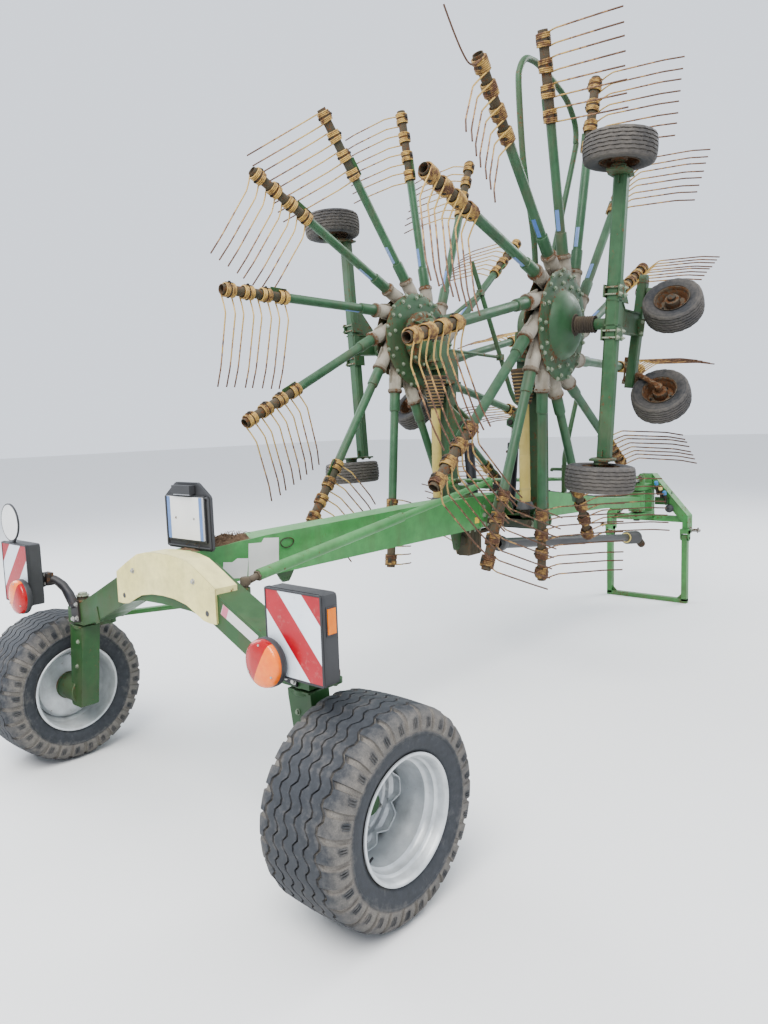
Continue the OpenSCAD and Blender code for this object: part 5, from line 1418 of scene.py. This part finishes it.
def make_boards():
    m = Mesh()
    mats = [BLACK, SHEET_R, SHEET_L, LENS_AMBER, WHITE_STICK, BOLT, BLUE_STICK]
    for s in (1, -1):
        S = side_m(s)
        c = 16
        x0, x1, z0, z1 = 932, 1226, 920, 1245
        out = [(x0 + c, z0), (x1 - c, z0), (x1 - 4, z0 + 4), (x1, z0 + c), (x1, z1 - c), (x1 - 4, z1 - 4), (x1 - c, z1), (x0 + c, z1), (x0 + 4, z1 - 4), (x0, z1 - c), (x0, z0 + c), (x0 + 4, z0 + 4)]
        slab(m, "xz", out, -247, -236, S, 0, .2)
        back = [(x * 0.985 + 16.2, z * 0.985 + 16.2) for x, z in out]
        slab(m, "xz", back, -237, -176, S, 0, .3)
        slab(m, "xz", [(x * 0.9 + 108, z * 0.9 + 108) for x, z in out], -177, -170, S, 0, .4)
        # frame round the sheet, then the sheet
        k = 7
        ins = [(x0 + k, z0 + k), (x1 - k, z0 + k), (x1 - k, z1 - k), (x0 + k, z1 - k)]
        slab(m, "xz", ins, -250.2, -246, S, 1 if s > 0 else 2, .2)
        for a, b in zip(ins, ins[1:] + ins[:1]):
            bar(m, [(a[0], -248.5, a[1]), (b[0], -248.5, b[1])], 4.5, 8, 0, S, .2)
        # reflector on the outer edge
        block(m, x1 - 2, x1 + 1.0, -232, -186, 1098, 1198, S, 0, .3)
        slab(m, "yz", [(-228, 1104), (-190, 1104), (-190, 1192), (-228, 1192)], x1 + .5, x1 + 5, S, 3, .2)
        for z in (975, 1190):
            for x in (985, 1175):
                m.bolt(S @ P(x, -170, z), V(0, 1, 0), 0.008, None, 5)
    S = side_m(-1)
    turned(m, (1095, -249, 1352), (0, -1, 0), [(0, -5), (97, -5), (100, -3), (100, 3), (98, 5.2), (94, 5.6), (93.5, 4.6)], 64, 0, S, .2)
    turned(m, (1095, -249, 1352), (0, -1, 0), [(94, 4.6), (60, 4.7), (0, 4.7)], 64, 4, S, .1)
    block(m, 1085, 1105, -243, -232, 1238, 1350, S, 0, .3)
    for z in (1262, 1300):
        m.bolt(S @ P(1095, -232, z), V(0, 1, 0), 0.007, None, 5)
    block(m, 950, 972, -240, -237, 904, 920, side_m(1), 6, .4)
    m.build("boards", mats, "chassis", ["warning_boards"], bevel=0.0012, angle=38)

    m = Mesh()
    for s in (1, -1):
        S = side_m(s)
        turned(m, (966, -256, 977), (0, -1, 0), [(0, 0), (70, 0), (86, 6), (90, 12), (90, 30), (88, 33), (80, 33)], 64, 0, S, .3)
        c = look(S @ P(966, -289, 977), (0, -1, 0))
        pr = [(0.087, 0), (0.0868, 0.012), (0.083, 0.020), (0.070, 0.026), (0.040, 0.030), (0, 0.031)]
        # the outer side of the pair flashes, the inner one glows red
        m.lathe(pr, c, 32, 1, 0, False, 60 if s > 0 else -120, 240 if s > 0 else 60)
        m.lathe(pr, c, 32, 2, 0, False, 240 if s > 0 else 60, 420 if s > 0 else 240)
        for k in range(3):
            a = math.radians(90 + 120 * k)
            m.lathe([(0.0042, 0.015), (0.0042, 0.0285), (0, 0.0285)], c @ Matrix.Translation((0.070 * math.cos(a), 0.070 * math.sin(a), 0)), 10, 3)
        # lamp's stalk to the board
        block(m, 956, 990, -257, -246, 950, 1010, S, 0, .4)
    m.build("lamps", [BLACK, LENS_RED, LENS_ORANGE, BOLT], "chassis", ["tail_lamps"], bevel=0.0, angle=40)

    m = Mesh()
    for s in (1, -1):
        S = side_m(s)
        bar(m, [(838, -62, 896), (868, -70, 960), (905, -84, 1008), (950, -108, 1040), (985, -140, 1046), (1002, -170, 1046)], 22, 20, 0, S, .2, 60)
        # flat plate bolted on the axle and a two-part clamp round the tube
        slab(m, "xz", [(800, 820), (874, 806), (880, 900), (866, 922), (806, 934)], -66, -56, S, 0, .3)
        for x, z in ((816, 838), (862, 828), (816, 912), (862, 900)):
            m.bolt(S @ P(x, -66, z), V(0, -1, 0), 0.010, None, 1)
        for y0, y1 in ((-150, -132), (-131, -113)):
            block(m, 944, 1004, y0, y1, 1012, 1078, S, 0, .4)
        for z in (1022, 1068):
            m.bolt(S @ P(974, -150, z), V(0, -1, 0), 0.008, None, 1)
        block(m, 960, 1040, -171, -160, 1008, 1084, S, 0, .3)
        # lamp cable
        bar(m, [(850, -84, 900), (890, -100, 985), (930, -124, 1030), (975, -150, 1010), (980, -200, 985), (972, -250, 980)], 4, 8, 2, S, .3, 30)
    m.build("board_arms", [BLACK_PAINT, BOLT, HOSE], "chassis", ["board_brackets"], bevel=0.002, angle=38)


def make_gear():
    m = Mesh()
    mats = [GEAR_GREEN, BOLT_GREEN, DARK_IRON]
    block(m, -50, 50, 2275, 2425, 896, 1072, None, 0, .5)
    block(m, -44, 44, 2281, 2419, 890, 898, None, 0, .6)
    for x in (-50, 50):
        for y in (2290, 2350, 2410):
            m.bolt(P(x, y, 1058), V(x / 50, 0, 0), 0.008, 0.003, 1)
    for q in (-1, 1):
        for y in (2310, 2350, 2390):
            block(m, q * 50, q * 53, y - 4, y + 4, 905, 1040, None, 0, .4)
    turned(m, (0, 2422, 1032), (0, 1, 0), [(34, 0), (34, 8), (30, 12), (28, 16), (0, 16)], 36, 0, None, .5)
    for k in range(6):
        a = math.radians(60 * k)
        m.bolt(P(25 * math.cos(a), 2432, 1032 + 25 * math.sin(a)), V(0, 1, 0), 0.005, 0.004, 1)
    turned(m, (0, 2424, 1032), (0, 1, 0), [(0, 0), (20, 16), (20, 34), (16.8, 38), (16.8, 216)], 28, 2, None, .5)
    ball(m, (0, 2640, 1032), 17, 2)
    turned(m, (0, 2640, 1032), V(0, 82, -117), [(16.8, 0), (16.8, 40), (19, 44), (19, 60), (16.8, 64), (16.8, 142), (0, 143)], 28, 2, None, .5)
    turned(m, (0, 2275, 1000), (0, -1, 0), [(30, -2), (30, 6), (24, 9), (0, 9)], 28, 0, None, .5)
    for s in (1, -1):
        S = side_m(s)
        turned(m, (85, 2487, 1107), (1, 0, 0), [(54, 2), (54, 10), (42, 14), (40, 36), (31, 42), (27, 46), (27, 286), (26.5, 309), (0, 310)], 40, 0, S, [.4, .5, .5, .3, .4, .4, .2, .5, .6])
        for k in range(6):
            a = math.radians(60 * k + 20)
            m.bolt(S @ P(95, 2487 + 47 * math.cos(a), 1107 + 47 * math.sin(a)), V(s, 0, 0), 0.007, None, 1)
    m.build("gear_case", mats, "chassis", ["gearbox"], bevel=0.005, angle=35)

    m = Mesh()
    mats = [PTO_BLACK, DARK_IRON, YELLOW_GRIP, BOLT]
    d = V(0, 2112, -241).normalized()
    turned(m, (0, 2712, 914), d, [(30, 0), (54, 2), (58, 8), (57, 30), (54, 50), (48, 66), (43, 80), (38, 82)], 40, 0, None, .4)
    turned(m, (0, 2788, 905), d, [(34, 0), (39, 2), (39, 1240), (40, 1242), (40, 1262), (35, 1266), (35, 2120), (34, 2124)], 40, 0, None, [.5, .3, .2, .4, .6, .4, .2, .4])
    pr = [(36, 0), (52, 4)]
    for k in range(8):
        pr += [(57, 12 + k * 24), (60, 18 + k * 24), (55, 28 + k * 24)]
    pr += [(60, 208), (61, 220), (58, 224), (50, 222), (34, 150)]
    turned(m, (0, 4890, 665), V(0, 220, -25), pr, 44, 0, None, .4)
    turned(m, (0, 4884, 666), V(0, 220, -25), [(37, 0), (46, 0), (48, 3), (48, 12), (46, 15), (37, 15)], 32, 2, None, .3)
    # drooping yoke with its cross and quick-release collar
    dd = V(0, math.cos(math.radians(35)), -math.sin(math.radians(35)))
    o = (0, 5120, 640)
    turned(m, o, dd, [(0, -10), (38, -10), (43, -4), (43, 10), (36, 22), (30, 44), (33, 58), (36, 64), (36, 88), (34, 92), (36, 96), (36, 142), (33, 150), (18.5, 150), (17.5, 146), (17.5, 62), (0, 62)], 36, 1, None, .5)
    for k in range(6):
        a = math.radians(60 * k)
        t = look(P(*[o[i] + dd[i] * 104 for i in range(3)]), dd)
        m.tube([t @ V(.0165 * math.cos(a), .0165 * math.sin(a), -.03), t @ V(.0165 * math.cos(a), .0165 * math.sin(a), .042)], .0012, 6, 1, True, .6)
    pin(m, (0, 5116, 642), (1, 0, 0), 13, 92, 20, 3)
    pin(m, (0, 5150, 619), (0, .574, .819), 11, 86, 20, 3)
    m.build("drive_shaft_front", mats, "chassis", ["pto_shaft"], bevel=0.0, angle=32)


def make_steering():
    # relay lever and rods
    m = Mesh()
    slab(m, "xy", [(-110, 2272), (0, 2262), (200, 2272), (200, 2328), (0, 2338), (-110, 2328)], 1353, 1369, None, 0, .3)
    eye(m, (0, 2300, 1361), 12, 44, 18, 0)
    for x in (-110, 200):
        eye(m, (x, 2300, 1361), 12, 29.5, 18, 0)
    m.bolt(P(0, 2300, 1370), V(0, 0, 1), 0.022, 0.016, 1, stud=0.008)
    m.build("steering_relay", [GREEN, BOLT], "steer_lever", ["steer_lever"], bevel=0.003, angle=35)

    m = Mesh()
    bar(m, [(200, 2285, 1394), (200, 1390, 1262)], 20, 24, 0, None, .2)
    turned(m, (200, 1400, 1263.5), V(0, -1070, -155), [(20, -6), (26, -6), (28, 0), (28, 1078), (26, 1084), (18, 1086)], 32, 0, None, [.6, .6, .4, .4, .6, .6])
    bar(m, [(200, 345, 1110), (200, 272, 1092)], 17, 20, 1, None, .6)
    turned(m, (200, 333, 1107), V(0, -60, -14), [(17, 0), (27, 0), (27, 14), (17, 14)], 6, 1, None, .6)
    ball(m, (200, 2300, 1391), 29, 0)
    ball(m, (200, 250, 1089), 26, 1, None, (0, 0, -1))
    m.bolt(P(200, 2300, 1406), V(0, 0, 1), 0.013, None, 2)
    # dried mud on the rear end
    m.build("steering_rod_rear", [GREEN_ROD2, MUDDY, BOLT], "steer_rod", ["steer_rod"], bevel=0.0, angle=35)

    m = Mesh()
    bar(m, [(-109, 2324, 1393), (53, 5097, 1213)], 15, 20, 0, None, .2)
    bar(m, [(-108, 2340, 1392), (-104, 2412, 1387)], 17, 6, 1, None, .5)
    bar(m, [(48, 5010, 1219), (53, 5085, 1214)], 17, 6, 1, None, .5)
    ball(m, (-110, 2300, 1391), 27, 0)
    ball(m, (55, 5120, 1211), 22, 0, None, (0, 0, 1))
    m.build("steering_rod_front", [GREEN_ROD, DARK_IRON], "front_rod", ["front_rod"], bevel=0.0, angle=35)

    m = Mesh()
    slab(m, "xy", [(-30, 222), (40, 216), (200, 226), (200, 274), (60, 286), (26, 300), (24, 400), (-24, 400), (-28, 290)], 986, 1002, None, 0, .3)
    eye(m, (0, 250, 994), 12, 44, 18, 0)
    eye(m, (0, 400, 994), 12, 29, 18, 0)
    turned(m, (200, 250, 985), (0, 0, 1), [(0, 0), (28, 0), (28, 18), (22, 22), (22, 76), (0, 80)], 28, 0, None, .4)
    m.bolt(P(0, 250, 985), V(0, 0, -1), 0.020, None, 1)
    m.build("steering_crank", [GREEN, BOLT], "axle_lever", ["axle_lever"], bevel=0.003, angle=35)

    m = Mesh()
    turned(m, (0, 400, 945), (0, 0, 1), [(0, 0), (22, 0), (26, 4), (26, 28), (20, 33), (0, 34)], 28, 0, None, .4)
    for s in (1, -1):
        S = side_m(s)
        bar(m, [(15, 396, 958), (858, 154, 808)], 15.5, 20, 0, S, .2)
        bar(m, [(780, 176, 822), (850, 156, 809.5)], 18, 6, 1, S, .5)
        ball(m, (870, 150, 808), 22, 1, S)
    m.build("tie_rods", [GREEN_ROD, DARK_IRON], "tie_rod", ["tie_rod"], bevel=0.0, angle=35)

    for s, name in SIDES:
        S = side_m(s)
        m = Mesh()
        turned(m, (870, 0, 700), (0, 0, 1), [(0, 0), (29.8, 0), (29.8, 236), (27, 240), (0, 240)], 40, 1, S, .4)
        m.bolt(S @ P(870, 0, 940), V(0, 0, 1), 0.024, 0.014, 2)
        turned(m, (870, 0, 770), (0, 0, 1), [(30, 0), (60, 0), (62, 2), (62, 17), (60, 19.5), (30, 19.5)], 40, 0, S, .4)
        leg = [(806, 786), (934, 786), (936, 760), (982, 340), (972, 330), (884, 330), (876, 342), (806, 760)]
        slab(m, "xz", leg, -50, 50, S, 0, .15)
        slab(m, "xz", [(812, 790), (930, 790), (930, 782), (812, 782)], -56, 56, S, 0, .4)
        turned(m, (930, 0, 403), (1, 0, 0), [(40, 0), (68, 0), (72, 4), (72, 160), (76, 162), (76, 172), (72, 175), (44, 176)], 48, 0, S, [.4, .5, .5, .3, .6, .6, .6, .5])
        turned(m, (1100, 0, 403), (1, 0, 0), [(43, 0), (43, 78), (40, 90), (0, 91)], 40, 0, S, .4)
        slab(m, "xy", [(840, 40), (900, 40), (896, 140), (890, 164), (870, 178), (850, 164), (844, 140)], 766, 786, S, 0, .3)
        eye(m, (870, 150, 776), 12, 29.5, 22, 0, S)
        m.bolt(S @ P(870, 150, 765), V(0, 0, -1), 0.012, None, 2)
        for z in (700, 560):
            m.bolt(S @ P(860 if z > 600 else 890, -50, z), V(0, -1, 0), 0.009, None, 2)
        m.build("wheel_leg_" + name, [GREEN, DARK_IRON, BOLT_GREEN], "knuckle_" + name, ["knuckle_" + name], bevel=0.006, angle=35, segs=3)


def make_hitch():
    m = Mesh()
    # the headstock is in the sky-lit green: its lighter colour and lighter top are painted light
    mats = [GREEN_LIT, DARK_IRON, BOLT, BLACK_PAINT, BLUE_CAP, YELLOW_GRIP, BLACK, GREEN]
    for z in (820, 1090):
        slab(m, "xy", [(-70, 5120), (-66, 5092), (-50, 5068), (-26, 5054), (0, 5050), (26, 5054), (50, 5068), (66, 5092), (70, 5120), (70, 5380), (-70, 5380)], z, z + 55, None, 0, .3)
    turned(m, (0, 5120, 800), (0, 0, 1), [(0, 0), (29.8, 0), (29.8, 366), (27, 370), (0, 370)], 36, 1, None, .4)
    m.bolt(P(0, 5120, 1170), V(0, 0, 1), 0.024, 0.014, 2)
    block(m, -60, 60, 5332, 5400, 800, 1230, None, 0, .3)
    # the A: each leg a channel with its edges turned in
    for s in (1, -1):
        S = side_m(s)
        leg = [(0, 1230), (60, 1230), (400, 840), (400, 668), (350, 668), (350, 790), (40, 1150), (0, 1150)]
        slab(m, "xz", leg, 5346, 5454, S, 0, .2)
        slab(m, "xz", [(62, 1232), (402, 842), (396, 834), (58, 1222)], 5340, 5460, S, 0, .4)
        slab(m, "xz", [(349, 792), (42, 1148), (36, 1140), (344, 784)], 5340, 5460, S, 0, .4)
        slab(m, "xz", [(396, 840), (404, 840), (404, 668), (396, 668)], 5340, 5460, S, 0, .4)
        # pins of the lower links, with shoulder and linch pin
        turned(m, (400, 5400, 700), (1, 0, 0), [(0, -12), (42, -12), (42, -2), (30, 0), (30, 10), (28.5, 12), (14, 12.5), (14, 96), (11.5, 100), (0, 100)], 36, 2, S, .4)
        bar(m, [(478, 5400, 722), (478, 5400, 678)], 4.5, 10, 1, S, .4)
        ring_pts = [(478 + 2 * math.cos(a), 5400 + 24 * math.sin(a), 703 + 24 * math.cos(a)) for a in [k * math.pi / 8 for k in range(17)]]
        bar(m, ring_pts, 2.2, 8, 1, S, .4)
        # clevis of the stand
        block(m, 334, 416, 5330, 5388, 668, 712, S, 0, .3)
        for x in (334, 406):
            slab(m, "yz", [(5330, 700), (5384, 700), (5384, 632), (5378, 612), (5368, 602), (5352, 602), (5340, 612), (5332, 632)], x, x + 10, S, 0, .3)
        ring(m, (332, 5360, 630), (1, 0, 0), 10, 18, 4, 20, 1, S)
        slab(m, "yz", [(5352, 880), (5448, 880), (5448, 1010), (5400, 1060), (5352, 1010)], 226, 232, S, 7, .3)
    block(m, -350, 350, 5372, 5428, 772, 828, None, 0, .3)
    # ears and pin of the top link
    for x in (-45, 30):
        slab(m, "yz", [(5440, 1150), (5482, 1150), (5496, 1164), (5500, 1188), (5496, 1208), (5482, 1225), (5440, 1225)], x, x + 15, None, 0, .3)
    pin(m, (0, 5478, 1188), (1, 0, 0), 12.4, 104, 24, 2)
    # arm under the front steering rod
    slab(m, "xy", [(-10, 5092), (55, 5094), (55, 5146), (-10, 5148)], 1145, 1160, None, 0, .3)
    turned(m, (55, 5120, 1144), (0, 0, 1), [(0, 0), (26, 0), (26, 46), (20, 50), (0, 50)], 28, 0, None, .4)
    # hydraulic accumulator, couplings and their holder behind the A
    turned(m, (-118, 5330, 985), (0, 0, 1), [(0, 0), (26, 0), (30, 5), (30, 150), (26, 160), (12, 164), (12, 176), (0, 176)], 32, 3, None, .4)
    block(m, -170, -60, 5336, 5346, 1000, 1100, None, 7, .3)
    for k, (x, c) in enumerate(((120, 4), (160, 5), (200, 4))):
        z0 = 1086 - 46 * (k + .2)
        turned(m, (x, 5318, z0), (0, -.35, .94), [(0, -50), (9, -50), (9, -30), (15, -26), (15, 10), (13, 12), (13, 20), (17, 22), (17, 54), (14, 58), (0, 58)], 20, 1, None, .4)
        turned(m, (x, 5318 - 22, z0 + 60), (0, -.35, .94), [(18, -6), (18, 24), (14, 30), (0, 30)], 20, c, None, .3)
    block(m, 96, 226, 5318, 5346, 940, 1010, None, 7, .3)
    turned(m, (235, 5324, 905), (.5, -.8, 0), [(0, 0), (40, 0), (34, 30), (18, 44), (16, 56), (0, 58)], 28, 6, None, .3)
    m.build("hitch_frame", mats, "headstock", ["headstock"], bevel=0.0035, angle=35, segs=2)

    m = Mesh()
    for s in (1, -1):
        S = side_m(s)
        block(m, 350, 400, 5331, 5389, 20, 628, S, 0, .15)
        turned(m, (375, 5360, 630), (1, 0, 0), [(10, -25), (29, -25), (30, -23), (30, 23), (29, 25), (10, 25)], 32, 0, S, .4)
        pin(m, (375, 5360, 630), (1, 0, 0), 9.9, 94, 20, 1, S)
        slab(m, "xz", [(350, 39), (300, 39), (350, 92)], 5356, 5364, S, 0, .4)
    block(m, -400, 400, 5331, 5389, 0.5, 40, None, 0, .4)
    m.build("stand_frame", [GREEN_ROD, DARK_IRON], "stand", ["stand"], bevel=0.005, angle=35, segs=3)


STICK = ((420, 1050), (640, 948))
SHEET_R = board_sheet(1, 0.932, 1.245, 0.294, 0.325)
SHEET_L = board_sheet(-1, 0.932, 1.245, 0.294, 0.325)
GREEN_ROD = painted("green_paint_rods", (0.055, 0.175, 0.052), (0.075, 0.220, 0.070), dust=(0.17, 0.26, 0.15), dust_amt=0.4, rust=0.3)
make_beam()
make_axle()
make_boards()
make_gear()
make_steering()
make_hitch()


# ------------------------------------------------------------------ floor, light and camera
def stage():
    me = bpy.data.meshes.new("floor")
    S = 60.0
    me.from_pydata([(-S, -S, 0), (S, -S, 0), (S, S, 0), (-S, S, 0)], [], [[0, 1, 2, 3]])
    fl = bpy.data.objects.new("floor", me)
    bpy.context.scene.collection.objects.link(fl)
    m, nt, b = new_mat("pale_floor")
    b.inputs["Base Color"].default_value = (0.78, 0.78, 0.77, 1)
    b.inputs["Roughness"].default_value = 0.9
    me.materials.append(m)
    w = bpy.data.worlds.new("studio")
    bpy.context.scene.world = w
    w.use_nodes = True
    nt = w.node_tree
    bg = nt.nodes["Background"]
    bg.inputs[0].default_value = (0.86, 0.91, 1.0, 1)
    bg.inputs[1].default_value = 0.85

    def area(name, loc, target, size, power, col=(1, 1, 1)):
        ld = bpy.data.lights.new(name, "AREA")
        ld.shape, ld.size, ld.energy, ld.color = "DISK", size, power, col
        o = bpy.data.objects.new(name, ld)
        o.location = loc
        o.rotation_mode = "QUATERNION"
        o.rotation_quaternion = (Vector(target) - Vector(loc)).to_track_quat("-Z", "Y")
        bpy.context.scene.collection.objects.link(o)
    area("key", (3.5, -7.5, 9.0), (0, -0.5, 1.5), 7.0, 900, (1.0, 0.98, 0.95))
    area("fill", (-8.0, -3.0, 6.0), (0, 0, 1.5), 7.0, 350, (0.92, 0.96, 1.0))
    area("rim", (3.0, 9.0, 8.0), (0, 0, 2.0), 6.0, 450, (1, 1, 1))


stage()

cam = bpy.data.cameras.new("camera")
cam.lens = 780.844 * 36 / 1024
cam.sensor_width = 36
cam.clip_start, cam.clip_end = 0.05, 300
co = bpy.data.objects.new("camera", cam)
bpy.context.scene.collection.objects.link(co)
R3 = Matrix(((0.75364754, 0.65643516, -0.03329079), (-0.04947705, 0.10716417, 0.99300950), (0.65541392, -0.74673203, 0.11324249))).transposed()
co.matrix_world = Matrix.Translation((3.0621, -4.5623, 1.8040)) @ R3.to_4x4()
bpy.context.scene.camera = co
bpy.context.scene.view_settings.view_transform = "AgX"
bpy.context.scene.view_settings.look = "AgX - Medium High Contrast"
bpy.context.scene.view_settings.exposure = 0.35

for n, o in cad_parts.items():
    if not o.hide_render and not o.data.materials:
        o.data.materials.append(GREEN)
